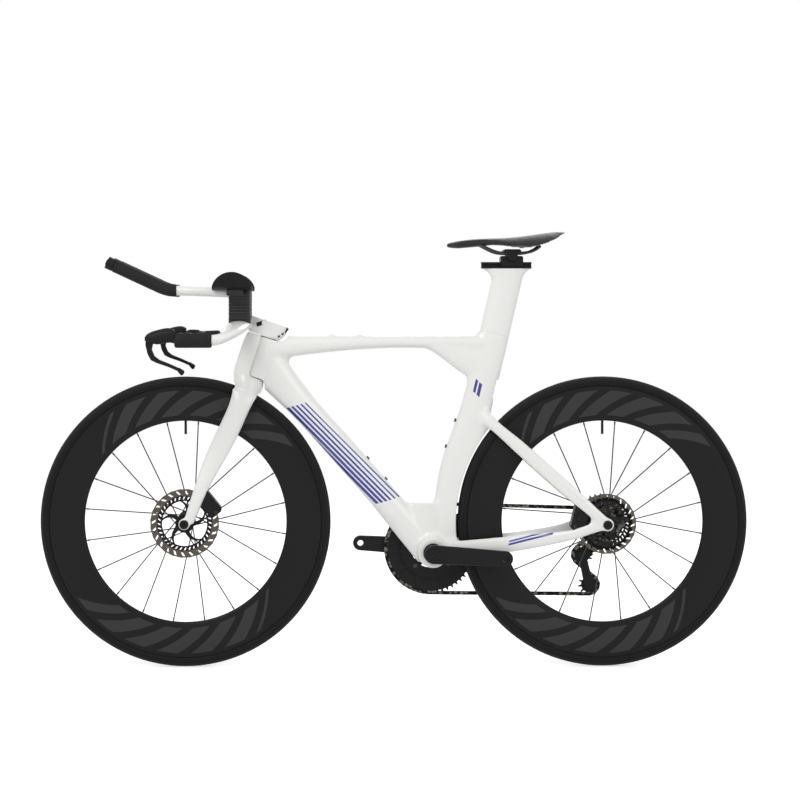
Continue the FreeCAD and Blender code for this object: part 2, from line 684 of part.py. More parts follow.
def tube_along(start, end, depth, width, shares):
    way = end - start
    up = ALONG_Y.cross(way).normalize()
    if up.z < 0:
        up = up * -1
    return loft([span(start + way * place_share + up * (depth * low),
                      start + way * place_share + up * (depth * high), ALONG_Y,
                      width * wide) for place_share, high, low, wide in shares])


head_joint = steer_at(head_low + n.head_length * half_share)
down_tube = tube_along(bottom_bracket, head_joint, n.down_depth, n.down_width, down_shares)
top_level = n.tyre_radius + n.top_height
top_start = V(steer_at(head_high).x, 0, top_level)
top_end = V(seat_at(n.seat_tube_top).x, 0, top_level)


def top_section(along, top, foot, width):
    edge = top_start + (top_end - top_start) * along
    return span(edge - ALONG_Z * (n.top_depth * foot), edge - ALONG_Z * (n.top_depth * top), ALONG_Y,
                n.top_width * width)


top_tube = loft([top_section(along, 0, foot, width) for along, foot, width in top_shares])
gusset = loft([top_section(*row) for row in gusset_shares], ruled=True)
seat_tube = loft([span(seat_at(n.seat_tube_top * rise, n.seat_tube_depth * back),
                       seat_at(n.seat_tube_top * rise, n.seat_tube_depth * front),
                       ALONG_Y, n.seat_tube_width * width) for rise, front, back, width in seat_shares])
shell_half = ALONG_Y * (n.bb_shell_width / 2)
bb_shell = rod(bottom_bracket - shell_half, bottom_bracket + shell_half, n.bb_shell_radius)
web = loft([span(bottom_bracket + V(n.bb_web_height * front, 0, n.bb_web_height * rise),
                 bottom_bracket + V(n.bb_web_height * back, 0, n.bb_web_height * rise),
                 ALONG_Y, n.bb_shell_width * width) for rise, front, back, width in web_shares])
moulding = joined([down_tube, top_tube, gusset, seat_tube, web, bb_shell])

# Room for the turning fork and stem, and for the rear wheel
ahead_box = Part.makeBox(n.wheelbase, n.wheelbase, n.wheelbase)
ahead_box.Placement = FreeCAD.Placement(
    steer_at(-n.wheelbase * half_share, -n.cowl_gap, n.wheelbase * half_share),
    FreeCAD.Rotation(steer_ahead, ALONG_Y * -1, steer_up, "ZXY"))
moulding = moulding.cut(ahead_box)
moulding = moulding.cut(rod(steer_at(crown_top - n.crown_height), steer_at(head_low),
                            n.head_radius + n.cowl_gap))
moulding = moulding.cut(rod(steer_at(head_high), steer_at(stem_low + n.stem_height * 2),
                            n.stem_back + n.cowl_gap * 2))
wheel_room = rod(rear_axle - ALONG_Y * n.bb_shell_width, rear_axle + ALONG_Y * n.bb_shell_width,
                 n.tyre_radius + n.wheel_cut_gap)
moulding = moulding.cut(wheel_room)
head_tube = rod(steer_at(head_low), steer_at(head_high), n.head_radius)

# Bosses on the top tube, open for screws
boss_centre = V(bottom_bracket.x - n.boss_reach, 0, top_level)
boss_spots = [boss_centre + ALONG_X * (n.boss_spacing * side) for side in (-half_share, half_share)]
collars = [rod(spot - ALONG_Z * n.boss_depth, spot + ALONG_Z * n.boss_height, n.boss_radius)
           for spot in boss_spots]
boss_holes = [rod(spot - ALONG_Z * n.boss_depth, spot + ALONG_Z * (n.boss_height + n.overrun),
                  n.boss_hole_radius) for spot in boss_spots]

# Bottle bolts on the down tube and the seat tube
bottle_low_share = 0.33
seat_bolt_share = 0.46
seat_bolt_slope_share = 0.16
socket_share = 0.36
down_way = (head_joint - bottom_bracket).normalize()
down_face = V(down_way.z, 0, -down_way.x)
bottle_places = []
for along in (bottle_low_share, bottle_low_share + n.boss_spacing / (head_joint - bottom_bracket).Length):
    spot = bottom_bracket + (head_joint - bottom_bracket) * along
    bottle_places.append((spot + down_face * (n.down_depth * down_shares[2][1]), down_face))
for rise in (seat_bolt_share, seat_bolt_share + n.boss_spacing / n.seat_tube_top):
    slope_share = (seat_shares[2][0] - rise) / (seat_shares[2][0] - seat_shares[3][0])
    front_edge = n.seat_tube_depth * (seat_shares[2][1] + seat_bolt_slope_share * slope_share)
    bottle_places.append((seat_at(n.seat_tube_top * rise, front_edge), seat_ahead))

post_low = n.seat_tube_top - n.post_insert


def post_section(rise, chord, width, gap=0):
    return oval(seat_at(rise), seat_ahead, ALONG_Y, n.post_chord * chord + gap * 2,
                n.post_width * width + gap * 2)


socket = loft([post_section(post_low - n.post_insert * socket_share, 1, 1, n.slide_gap),
               post_section(n.seat_tube_top + n.overrun, 1, 1, n.slide_gap)])
bb_bore = rod(bottom_bracket - shell_half * 2, bottom_bracket + shell_half * 2, n.bb_bore_radius)
head_bore = rod(steer_at(crown_top), steer_at(stem_low), n.head_bore_radius)
seats = [rod(steer_at(crown_top), steer_at(head_low + n.bearing_height), n.bearing_radius),
         rod(steer_at(head_high - n.bearing_height), steer_at(stem_low), n.bearing_radius)]
frame_shape = joined([moulding, head_tube] + collars)
for hole in [head_bore, socket, bb_bore] + seats + boss_holes:
    frame_shape = frame_shape.cut(hole)
bolts = []
for spot, out in bottle_places:
    shank = rod(spot - out * n.bolt_shank_length, spot + out * n.overrun, n.bolt_shank_radius)
    frame_shape = frame_shape.cut(shank)
    bolts.append(rod(spot - out * n.bolt_shank_length, spot + out * n.bolt_head_height, n.bolt_shank_radius)
                 .fuse(rod(spot, spot + out * n.bolt_head_height, n.bolt_head_radius).cut(frame_shape)))
keep("frame_main", frame_shape)
keep("bottle_bolts", Part.makeCompound(bolts))

# Rear stays with their dropouts, the caliper between them and the derailleur hanger
# Each row: back along the stay, height over the bottom bracket, depth, middle to the side, width
chainstay_shares = (
    (0.09, 0.06, 1.02, 0.38, 1.0),
    (0.27, 0.16, 1.0, 0.392, 1.0),
    (0.50, 0.32, 0.9, 0.485, 0.95),
    (0.72, 0.54, 0.69, 0.73, 0.83),
    (0.81, 0.67, 0.62, 0.885, 0.76),
    (0.90, 0.85, 0.62, 0.97, 0.62),
    (0.985, 0.98, 0.55, 1.0, 0.5),
)
# Each row: down along the stay, depth, middle to the side, width
seatstay_shares = (
    (-0.1, 1.3, 0.12, 0.9),
    (0.02, 1.0, 0.30, 0.95),
    (0.4, 0.98, 0.64, 0.9),
    (0.7, 0.95, 0.91, 0.76),
    (0.86, 0.95, 0.985, 0.65),
    (0.99, 0.9, 1.0, 0.55),
)
stay_middle = n.rear_hub_width / 2 + n.stay_dropout_thickness / 2
stay_top = seat_at(n.seatstay_height, -n.seat_tube_depth * half_share)
chainstay = loft([oval(V(bottom_bracket.x + n.chainstay_run * back, stay_middle * side,
                         bottom_bracket.z + n.bb_drop * rise), ALONG_Z, ALONG_Y,
                       n.chainstay_depth * deep, n.chainstay_width * wide)
                  for back, rise, deep, side, wide in chainstay_shares])
stay_way = rear_axle - stay_top
stay_up = ALONG_Y.cross(stay_way).normalize()
seatstay = loft([oval(stay_top + stay_way * down + ALONG_Y * (stay_middle * side), stay_up, ALONG_Y,
                      n.seatstay_depth * deep, n.seatstay_width * wide)
                 for down, deep, side, wide in seatstay_shares])
out_face = rear_axle + ALONG_Y * (n.rear_hub_width / 2)
stay_boss = rod(out_face, out_face + ALONG_Y * n.stay_dropout_thickness, n.stay_dropout_radius)
stay_bore = rod(rear_axle - ALONG_Y * n.rear_hub_width, rear_axle + ALONG_Y * n.rear_hub_width,
                n.axle_radius)
hanger_spot = rear_axle + V(n.hanger_back, n.rear_hub_width / 2, -n.hanger_drop)
hanger_round = n.hanger_bolt_radius * 2
hanger_plate = prism([out_face + V(-n.stay_dropout_radius, 0, 0), out_face + V(n.stay_dropout_radius, 0, 0),
                      hanger_spot + V(hanger_round, 0, 0), hanger_spot + V(-hanger_round, 0, 0)],
                     ALONG_Y * n.hanger_thickness)
hanger_end = rod(hanger_spot, hanger_spot + ALONG_Y * n.hanger_thickness, hanger_round)
hanger_hole = rod(hanger_spot - ALONG_Y * n.overrun,
                  hanger_spot + ALONG_Y * (n.hanger_thickness + n.overrun), n.hanger_bolt_radius)
right_stay = joined([chainstay, seatstay, stay_boss, hanger_plate, hanger_end]).cut(hanger_hole)
left_stay = mirrored(joined([chainstay, seatstay, stay_boss]))
stays = [side.cut(stay_bore).cut(frame_shape) for side in (right_stay, left_stay)]
keep("rear_stays", Part.makeCompound([max(side.Solids, key=lambda s: s.Volume) for side in stays]))

caliper, pads = make_caliper(rear_axle, n.rear_rotor_radius, n.rear_caliper_turn_angle,
                             n.rear_rotor_inset - n.rear_hub_width / 2)
keep("rear_caliper", caliper.cut(stays[1]))
keep("rear_pad_left", pads[0])
keep("rear_pad_right", pads[1])


# Base bar: a flat wing that sweeps forward into two round grips
stem_high = stem_low + n.stem_height
wing_middle = steer_at(head_high + n.wing_rise, n.wing_reach)
# Each row: out to the side, forward, down, chord, thickness, heading in quarter turns
bar_shares = (
    (0.0, 0.0, 0.0, 1.0, 1.0, 0.0),
    (0.36, 0.01, 0.0, 0.9, 0.94, 0.0),
    (0.66, 0.04, 0.2, 0.8, 0.95, 0.13),
    (0.88, 0.14, 0.62, 0.62, 1.0, 0.5),
    (0.985, 0.32, 0.96, 0.43, 1.05, 0.94),
)


def bar_section(side, forward, down, long, thick, quarter):
    course = quarter * 90
    chord_way = V(math.cos(math.radians(course)), math.sin(math.radians(course)), 0)
    spot = wing_middle + V(-n.bar_reach * forward, n.bar_half_width * side, -n.bar_drop * down)
    return oval(spot, chord_way, ALONG_Z, long, thick)


grip_middle = wing_middle + V(0, n.bar_half_width, -n.bar_drop)
grip_start = grip_middle - ALONG_X * (n.bar_reach - n.tape_length)
grip_end = grip_middle - ALONG_X * n.bar_reach
wing_rows = [bar_section(row[0], row[1], row[2], n.wing_chord * row[3], n.wing_thickness * row[4], row[5])
             for row in bar_shares]
round_rows = [oval(spot, ALONG_Y, ALONG_Z, n.grip_radius * 2, n.grip_radius * 2 - n.fit_gap)
              for spot in (grip_start, grip_end)]
half_bar = loft(wing_rows + round_rows)
bar_shape = joined([half_bar, mirrored(half_bar)])
keep("base_bar", bar_shape)
keep("fork", fork_shape.cut(bar_shape))
bar_tape = rod(grip_start, grip_end, n.tape_radius).cut(half_bar)

# Stem on the steerer, tapering to a tail behind
# Each row: height, front edge, back edge, width
stem_shares = (
    (0.0, 0.92, 0.63, 0.92),
    (0.5, 0.96, 0.94, 0.97),
    (1.0, 1.0, 1.0, 1.0),
)
stem_shape = loft([span(steer_at(stem_low + n.stem_height * rise, -n.stem_back * back),
                        steer_at(stem_low + n.stem_height * rise, n.stem_front * front),
                        ALONG_Y, n.stem_width * width) for rise, front, back, width in stem_shares])
stem_shape = stem_shape.cut(bar_shape).cut(rod(steer_at(crown_top), steer_at(steerer_top),
                                               n.steerer_radius))
keep("stem", max(stem_shape.Solids, key=lambda s: s.Volume))

# Extensions: straight through their clamps, then bent up to the tips
tilt = n.extension_tilt_angle
tip_tilt = tilt + n.extension_turn_angle
run_way = V(-math.cos(math.radians(tilt)), 0, math.sin(math.radians(tilt)))
run_up = V(math.sin(math.radians(tilt)), 0, math.cos(math.radians(tilt)))
tip_way = V(-math.cos(math.radians(tip_tilt)), 0, math.sin(math.radians(tip_tilt)))
tip_up = V(math.sin(math.radians(tip_tilt)), 0, math.cos(math.radians(tip_tilt)))
ext_rear = wing_middle + V(n.extension_rear, n.riser_offset,
                           n.riser_height + n.clamp_block_height * half_share)
bend_start = ext_rear + run_way * n.extension_run
bend_centre = bend_start + run_up * n.extension_bend_radius
bend_end = bend_centre - tip_up * n.extension_bend_radius
bend_middle = bend_centre - (run_up + tip_up).normalize() * n.extension_bend_radius
tip_start = bend_end + tip_way * n.extension_tip
tip_end = tip_start + tip_way * n.tip_length


def bent(start, radius):
    """Round tube from a point on the straight run to the tip."""
    path = Part.Wire([Part.LineSegment(start, bend_start).toShape(),
                      Part.Arc(bend_start, bend_middle, bend_end).toShape(),
                      Part.LineSegment(bend_end, tip_start).toShape()])
    ring = Part.Wire([Part.Circle(start, run_way, radius).toShape()])
    return path.makePipeShell([ring], True, False)


extension = bent(ext_rear, n.extension_radius)
tape_start = ext_rear + run_way * n.extension_bare
ext_tape = bent(tape_start, n.extension_tape).cut(extension)
keep("extensions", both(extension))
keep("grip_tape", Part.makeCompound([bar_tape, mirrored(bar_tape), ext_tape, mirrored(ext_tape)]))

# Shift buttons in the ends of the extensions
end_housing = rod(tip_start, tip_end, n.extension_tape)
button_room = rod(tip_end - tip_way * n.button_depth, tip_end + tip_way * n.overrun,
                  n.button_radius + n.slide_gap)
end_housing = end_housing.cut(button_room)
end_button = rod(tip_end - tip_way * (n.button_depth - n.button_travel * 2),
                 tip_end + tip_way * n.button_out, n.button_radius)
keep("extension_button_right", end_button)
keep("extension_button_left", mirrored(end_button))

# Brake pods in front of the grips, with the levers' slots and pins
slot_back_share = 1.2
slot_up_share = 3.2
pin_half_share = 0.44
side_button_share = 0.12
side_rise_share = 0.22
eye_share = 1.9
clamp_low_share = 0.3
# Each row: forward, middle over the grip, height, width
pod_shares = (
    (0.0, 0.2, 0.86, 0.9),
    (0.27, 0.29, 0.92, 1.0),
    (0.57, 0.19, 0.9, 1.0),
    (0.83, 0.13, 0.7, 0.93),
    (1.0, 0.08, 0.3, 0.55),
)
pod = loft([oval(grip_end + V(-n.pod_length * forward, 0, n.pod_height * rise), ALONG_Z, ALONG_Y,
                 n.pod_height * high, n.pod_width * wide) for forward, rise, high, wide in pod_shares])
pivot = grip_end + V(-(n.pod_length - n.lever_pin_back), 0, n.lever_pin_rise)
slot_half = n.lever_slot / 2
slot = block(pivot + V(-n.lever_pin_back - n.overrun, -slot_half, -n.pod_height),
             pivot + V(n.lever_pin_back * slot_back_share, slot_half, n.lever_pin_radius * slot_up_share))
pin = rod(pivot - ALONG_Y * (n.pod_width * pin_half_share),
          pivot + ALONG_Y * (n.pod_width * pin_half_share), n.lever_pin_radius)
side_spot = grip_end + V(-n.pod_length * side_button_share, n.pod_width * half_share,
                         n.pod_height * side_rise_share)
side_room = rod(side_spot - ALONG_Y * n.side_button_depth, side_spot + ALONG_Y * n.overrun,
                n.side_button_radius + n.slide_gap)
pod = pod.cut(slot).fuse(pin).cut(side_room)
side_button = rod(side_spot - ALONG_Y * (n.side_button_depth - n.button_travel * 2),
                  side_spot + ALONG_Y * n.side_button_out, n.side_button_radius)
keep("lever_pods", Part.makeCompound([pod, mirrored(pod), end_housing, mirrored(end_housing)]))
keep("pod_button_right", side_button)
keep("pod_button_left", mirrored(side_button))

# Brake lever blade, hung on its pin; each row: back, down, as shares of its reach
lever_shares = (
    (-0.10, 0.06), (-0.12, -0.15), (-0.055, -0.413), (0.04, -0.589), (0.194, -0.664), (0.589, -0.795),
    (0.864, -0.912), (0.986, -1.044), (1.047, -0.941), (0.894, -0.853), (0.589, -0.721), (0.283, -0.604),
    (0.13, -0.488), (0.045, -0.297), (0.08, -0.12), (0.08, 0.06),
)
lever = prism([pivot + V(n.lever_back * back, -n.lever_width / 2, n.lever_drop * down)
               for back, down in lever_shares], ALONG_Y * n.lever_width)
lever_eye = rod(pivot - ALONG_Y * (n.lever_width / 2), pivot + ALONG_Y * (n.lever_width / 2),
                n.lever_pin_radius * eye_share)
lever = lever.fuse(lever_eye).removeSplitter()
lever = lever.cut(rod(pivot - ALONG_Y * n.pod_width, pivot + ALONG_Y * n.pod_width,
                      n.lever_pin_radius + n.fit_gap))
keep("brake_lever_right", lever)
keep("brake_lever_left", mirrored(lever))

# Risers: stacked spacers on the wing, extension clamps and armrest brackets
riser_middle = wing_middle + ALONG_Y * n.riser_offset
riser_top = riser_middle + ALONG_Z * n.riser_height


def plan_block(middle, low, high, length, width, corner):
    made = block(V(middle.x - length / 2, middle.y - width / 2, low),
                 V(middle.x + length / 2, middle.y + width / 2, high))
    return made.makeFillet(corner, [e for e in made.Edges if abs(e.tangentAt(0).z) > half_share])


riser = plan_block(riser_middle, riser_middle.z, riser_top.z, n.riser_length, n.riser_width, n.riser_round)
wing_top = wing_middle.z + n.wing_thickness * half_share
spacer_height = (riser_top.z - wing_top) / n.spacer_count
for step in range(1, int(n.spacer_count)):
    level = wing_top + spacer_height * step
    band = plan_block(riser_middle, level - n.spacer_groove / 2, level + n.spacer_groove / 2,
                      n.riser_length + n.overrun, n.riser_width + n.overrun, n.riser_round)
    core = plan_block(riser_middle, level - n.spacer_groove, level + n.spacer_groove,
                      n.riser_length - n.spacer_groove * 2, n.riser_width - n.spacer_groove * 2,
                      n.riser_round)
    riser = riser.cut(band.cut(core))
ext_clamp = plan_block(riser_middle, riser_top.z, riser_top.z + n.clamp_block_height, n.riser_length,
                       n.clamp_block_width, n.riser_round)
cup_axis = V(wing_middle.x - n.cup_ahead, n.cup_offset, ext_rear.z + n.cup_centre_height)
bracket = block(V(cup_axis.x - n.riser_length / 2, riser_middle.y + n.clamp_block_width / 4,
                  riser_top.z + n.bracket_rise),
                V(cup_axis.x + n.riser_length / 2, n.cup_offset + n.riser_width / 2,
                  cup_axis.z - n.cup_radius / 2))
cup_half = ALONG_X * (n.cup_length / 2)
cup_outer = rod(cup_axis - cup_half, cup_axis + cup_half, n.cup_radius)
riser_shape = joined([riser, ext_clamp, bracket]).cut(bar_shape).cut(extension).cut(cup_outer)
riser_shape = max(riser_shape.Solids, key=lambda s: s.Volume)
keep("risers", both(riser_shape))

# Armrest cups: open cradles with a domed outer edge, lined with pads


def dome(drop, trim):
    """Side view of a cradle, its upper edge an arch."""
    low = cup_axis.z - n.cup_radius - n.overrun
    front = V(cup_axis.x - n.cup_length / 2 + trim, 0,
              cup_axis.z - n.cup_wall_height + n.cup_edge_rise - drop)
    back = V(cup_axis.x + n.cup_length / 2 - trim, 0, front.z)
    peak = V(cup_axis.x, 0, cup_axis.z - n.cup_crest_drop - drop)
    face = Part.Face(Part.Wire([Part.Arc(front, peak, back).toShape(),
                                Part.LineSegment(back, V(back.x, 0, low)).toShape(),
                                Part.LineSegment(V(back.x, 0, low), V(front.x, 0, low)).toShape(),
                                Part.LineSegment(V(front.x, 0, low), front).toShape()]))
    return face.extrude(ALONG_Y * (n.cup_offset * 2))


inner_radius = n.cup_radius - n.cup_wall
long_half = cup_half * 2
cup = cup_outer.cut(rod(cup_axis - long_half, cup_axis + long_half,
                        inner_radius)).common(dome(0, 0))
foam = rod(cup_axis - cup_half, cup_axis + cup_half, inner_radius)
foam = foam.cut(rod(cup_axis - long_half, cup_axis + long_half, inner_radius - n.pad_foam))
foam = foam.common(dome(n.pad_lip, n.pad_lip))
keep("armrest_cups", both(max(cup.Solids, key=lambda s: s.Volume)))
keep("armrest_pads", both(max(foam.Solids, key=lambda s: s.Volume)))

# Seat post, its head and the track on it
# Each row: under the top, chord, width, shift ahead
head_shares = (
    (0.5, 0.68, 1.0, 0.02),
    (0.0, 1.0, 1.04, 0.07),
)
post_top = seat_at(n.post_top)
straight_top = n.post_top - n.post_head_height


def post_head_section(under, chord, width, ahead):
    middle = seat_at(n.post_top - n.post_head_height * under) - ALONG_X * (n.post_head_length * ahead)
    return oval(middle, ALONG_X, ALONG_Y, n.post_head_length * chord, n.post_width * width)


def level_section(rise):
    """The post's own section, cut level."""
    return oval(seat_at(rise), ALONG_X, ALONG_Y, n.post_chord / seat_up.z, n.post_width)


post = loft([level_section(post_low), level_section(straight_top)])
post_head = loft([level_section(straight_top)] + [post_head_section(*row) for row in head_shares])
keep("seatpost", joined([post, post_head]))

track_middle = V(post_top.x - n.post_head_length * head_shares[-1][3], 0, post_top.z)
lip = n.track_lip


def track_profile(start, length, gap):
    """I-shaped rail with a flange above and below its neck."""
    half = n.track_width / 2
    neck = n.track_neck / 2
    rise = n.track_height
    outline = ((-half - gap, 0), (half + gap, 0), (half + gap, lip + gap), (neck + gap, lip + gap),
               (neck + gap, rise - lip - gap), (half + gap, rise - lip - gap), (half + gap, rise + gap),
               (-half - gap, rise + gap), (-half - gap, rise - lip - gap), (-neck - gap, rise - lip - gap),
               (-neck - gap, lip + gap), (-half - gap, lip + gap))
    return prism([V(start, y, track_middle.z + z) for y, z in outline], ALONG_X * length)


keep("seat_track", track_profile(track_middle.x - n.track_length / 2, n.track_length, 0))

# Carriage that slides on the track and carries the tilting clamp
tilt_axis = V(track_middle.x + n.carriage_back, 0, track_middle.z + n.track_height + n.tilt_rise)
carriage_low = track_middle.z + n.track_lip + n.side_gap
carriage = block(V(tilt_axis.x - n.carriage_length / 2, -n.track_width / 2 - n.carriage_wall,
                   carriage_low),
                 V(tilt_axis.x + n.carriage_length / 2, n.track_width / 2 + n.carriage_wall,
                   tilt_axis.z - n.side_gap))
carriage = carriage.makeChamfer(n.carriage_wall * half_share,
                                [e for e in carriage.Edges if abs(e.tangentAt(0).y) > half_share])
carriage = carriage.cut(track_profile(tilt_axis.x - n.carriage_length, n.carriage_length * 2, n.slide_gap))
tilt_half = ALONG_Y * (n.clamp_width / 2)
carriage = carriage.cut(rod(tilt_axis - tilt_half, tilt_axis + tilt_half, n.tilt_radius + n.fit_gap))
keep("saddle_carriage", max(carriage.Solids, key=lambda s: s.Volume))

# Saddle rails, the clamp that holds them, and the saddle
# Each row: back from the nose, over the tilt axis, to the side
rail_shares = (
    (0.26, 1.85, 0.36),
    (0.34, 1.15, 0.43),
    (0.43, 0.50, 0.5),
    (0.47, 0.40, 0.5),
    (0.62, 0.40, 0.5),
    (0.67, 0.48, 0.5),
    (0.79, 1.55, 0.5),
)
nose = V(tilt_axis.x - n.saddle_reach, 0, tilt_axis.z + n.saddle_stack)
rail_points = [V(nose.x + n.saddle_length * back, n.rail_spacing * side,
                 tilt_axis.z + n.clamp_height * rise) for back, rise, side in rail_shares]
rail_line = Part.BSplineCurve()
rail_line.interpolate(rail_points)
rail_end = Part.Circle(rail_points[0], rail_line.tangent(rail_line.FirstParameter)[0], n.rail_radius)
rail = Part.Wire([rail_line.toShape()]).makePipeShell([Part.Wire([rail_end.toShape()])], True, False)
# Each row: back from the nose, half width, crown, edge and underside over the lowest edge
saddle_shares = (
    (0.0, 0.13, 0.30, 0.19, 0.13),
    (0.035, 0.28, 0.37, 0.21, 0.08),
    (0.14, 0.32, 0.46, 0.27, 0.12),
    (0.28, 0.385, 0.535, 0.34, 0.20),
    (0.43, 0.54, 0.565, 0.27, 0.30),
    (0.58, 0.78, 0.625, 0.09, 0.31),
    (0.71, 0.96, 0.73, 0.04, 0.39),
    (0.82, 1.0, 0.83, 0.19, 0.53),
    (0.925, 0.84, 0.94, 0.58, 0.74),
    (1.0, 0.45, 1.0, 0.89, 0.90),
)


def saddle_section(back, half, crown_rise, edge_rise, under_rise):
    x = nose.x + n.saddle_length * back
    left = V(x, -n.saddle_width / 2 * half, nose.z + n.saddle_height * edge_rise)
    right = V(x, n.saddle_width / 2 * half, nose.z + n.saddle_height * edge_rise)
    return Part.Wire([Part.Arc(left, V(x, 0, nose.z + n.saddle_height * crown_rise), right).toShape(),
                      Part.Arc(right, V(x, 0, nose.z + n.saddle_height * under_rise), left).toShape()])


saddle_shape = loft([saddle_section(*row) for row in saddle_shares])
keep("saddle", saddle_shape)
rails = both(max(rail.cut(saddle_shape).Solids, key=lambda s: s.Volume))
keep("saddle_rails", rails)
clamp_low = tilt_axis.z + n.clamp_height * clamp_low_share
saddle_clamp = block(V(tilt_axis.x - n.clamp_length / 2, -n.clamp_width / 2, clamp_low),
                     V(tilt_axis.x + n.clamp_length / 2, n.clamp_width / 2, tilt_axis.z + n.clamp_height))
saddle_clamp = saddle_clamp.makeChamfer(n.rail_radius, [e for e in saddle_clamp.Edges
                                                        if abs(e.tangentAt(0).y) > half_share])
saddle_clamp = joined([saddle_clamp, rod(tilt_axis - tilt_half, tilt_axis + tilt_half, n.tilt_radius)])
keep("saddle_clamp", max(saddle_clamp.cut(rails).Solids, key=lambda s: s.Volume))


# Drivetrain: the chain is laid first, because its links set how every toothed wheel stands


def pitch_radius(teeth):
    return n.pitch / (2 * math.sin(math.pi / teeth))


chain_fill_share = 0.995
lead_share = 3.2
flank_share = 0.475
spider_taper_share = 0.75
link_eye_share = 1.9
cage_waist_share = 0.75
fd_arm_share = 0.25
fd_arm_wide_share = 1.6
ring_radius = pitch_radius(n.ring_teeth)
cog_radius = pitch_radius(SPROCKET_TEETH[0])
pulley_radius = pitch_radius(n.pulley_teeth)
guide = rear_axle + V(-n.guide_forward, n.cassette_out, -n.guide_drop)


def tension_spot(angle):
    """Centre of the lower pulley, with the cage swung back from straight down by an angle."""
    return guide + V(math.sin(math.radians(angle)), 0, -math.cos(math.radians(angle))) * n.cage_length


def chain_course(angle):
    """Arcs and straight runs of the chain as (length, place at a distance along it)."""
    ring_spot = bottom_bracket + ALONG_Y * n.chain_line
    cog_spot = rear_axle + ALONG_Y * n.cassette_out
    wheels = ((ring_spot, ring_radius, -1), (cog_spot, cog_radius, -1), (guide, pulley_radius, 1),
              (tension_spot(angle), pulley_radius, -1))
    courses = []
    for i, (spot, radius, spin) in enumerate(wheels):
        after, after_radius, after_spin = wheels[(i + 1) % len(wheels)]
        way = V(after.x - spot.x, 0, after.z - spot.z)
        bend = math.asin((spin * radius - after_spin * after_radius) / way.Length)
        courses.append(math.atan2(way.z, way.x) + bend)
    parts = []
    for i, (spot, radius, spin) in enumerate(wheels):
        quarter = -spin * math.pi / 2
        first = courses[i - 1] + quarter
        swept = ((courses[i] - courses[i - 1]) * spin) % (2 * math.pi)
        parts.append((radius * swept, "arc", spot, radius, first, spin))
        leave = spot + V(math.cos(courses[i] + quarter), 0, math.sin(courses[i] + quarter)) * radius
        after, after_radius, after_spin = wheels[(i + 1) % len(wheels)]
        turned = courses[i] - after_spin * math.pi / 2
        meet = after + V(math.cos(turned), 0, math.sin(turned)) * after_radius
        parts.append(((meet - leave).Length, "run", leave, meet))
    return parts


def place_on(parts, distance):
    whole = sum(part[0] for part in parts)
    distance = distance % whole
    for part in parts:
        if distance <= part[0]:
            break
        distance -= part[0]
    if part[1] == "run":
        spot = part[2] + (part[3] - part[2]) * (distance / part[0])
        lead = min(n.pitch * lead_share, part[0] / 3)
        over = min(max((distance - lead) / (part[0] - lead * 2), 0), 1)
        return V(spot.x, part[2].y + (part[3].y - part[2].y) * over, spot.z)
    angle = part[4] + part[5] * distance / part[3]
    return part[2] + V(math.cos(angle), 0, math.sin(angle)) * part[3]


def walk(parts, links):
    """Pin places one pitch apart, and how far along the last one lies."""
    distance = parts[0][0] / 2
    spots = [place_on(parts, distance)]
    for link in range(links):
        low = distance
        high = distance + n.pitch * walk_share
        for step in range(HALVINGS):
            middle = (low + high) / 2
            if (place_on(parts, middle) - spots[-1]).Length < n.pitch:
                low = middle
            else:
                high = middle
        distance = (low + high) / 2
        spots.append(place_on(parts, distance))
    return spots, distance - parts[0][0] / 2 - sum(part[0] for part in parts)


# The cage swings until an even number of links closes
HALVINGS = 34
walk_share = 1.3
length_guess = sum(part[0] for part in chain_course(n.cage_turn_angle))
link_count = 2 * round(length_guess * chain_fill_share / n.pitch / 2)
low_angle = n.cage_turn_angle - n.cage_search_angle
high_angle = n.cage_turn_angle + n.cage_search_angle
low_miss = walk(chain_course(low_angle), link_count)[1]
for step in range(HALVINGS // 2):
    cage_angle = (low_angle + high_angle) / 2
    pins, miss = walk(chain_course(cage_angle), link_count)
    if (miss > 0) == (low_miss > 0):
        low_angle = cage_angle
    else:
        high_angle = cage_angle
tension = tension_spot(cage_angle)
print("links %d, cage angle %.2f, miss %.4f" % (link_count, cage_angle, miss))

# Each row: along the link in pitches, across it
plate_shares = ((-0.34, 0.0), (-0.1, 0.5), (1.1, 0.5), (1.34, 0.0), (1.1, -0.5), (-0.1, -0.5))
inner_face = n.roller_width / 2
outer_face = inner_face + n.plate_thickness + n.plate_gap
links = []
for i in range(link_count):
    start = pins[i]
    along = (pins[i + 1] - start).normalize()
    side = (ALONG_Y - along * along.y).normalize()
    across = side.cross(along)
    face = inner_face if i % 2 else outer_face
    for low in (face, -face - n.plate_thickness):
        outline = [start + along * (n.pitch * a) + across * (n.plate_height * c) + side * low for a,
                   c in plate_shares]
        links.append(prism(outline, side * n.plate_thickness))
    corners = [start + (along * math.cos(math.pi * k / 3)
                        + across * math.sin(math.pi * k / 3)) * n.roller_radius - side * inner_face
               for k in range(6)]
    links.append(prism(corners, side * n.roller_width))
keep("chain", Part.makeCompound(links))


def phase_of(spot, radius):
    """Angle of the chain pin that lies on a toothed wheel's pitch circle."""
    best = min(pins, key=lambda pin: abs(V(pin.x - spot.x, 0, pin.z - spot.z).Length - radius))
    return math.atan2(best.z - spot.z, best.x - spot.x)


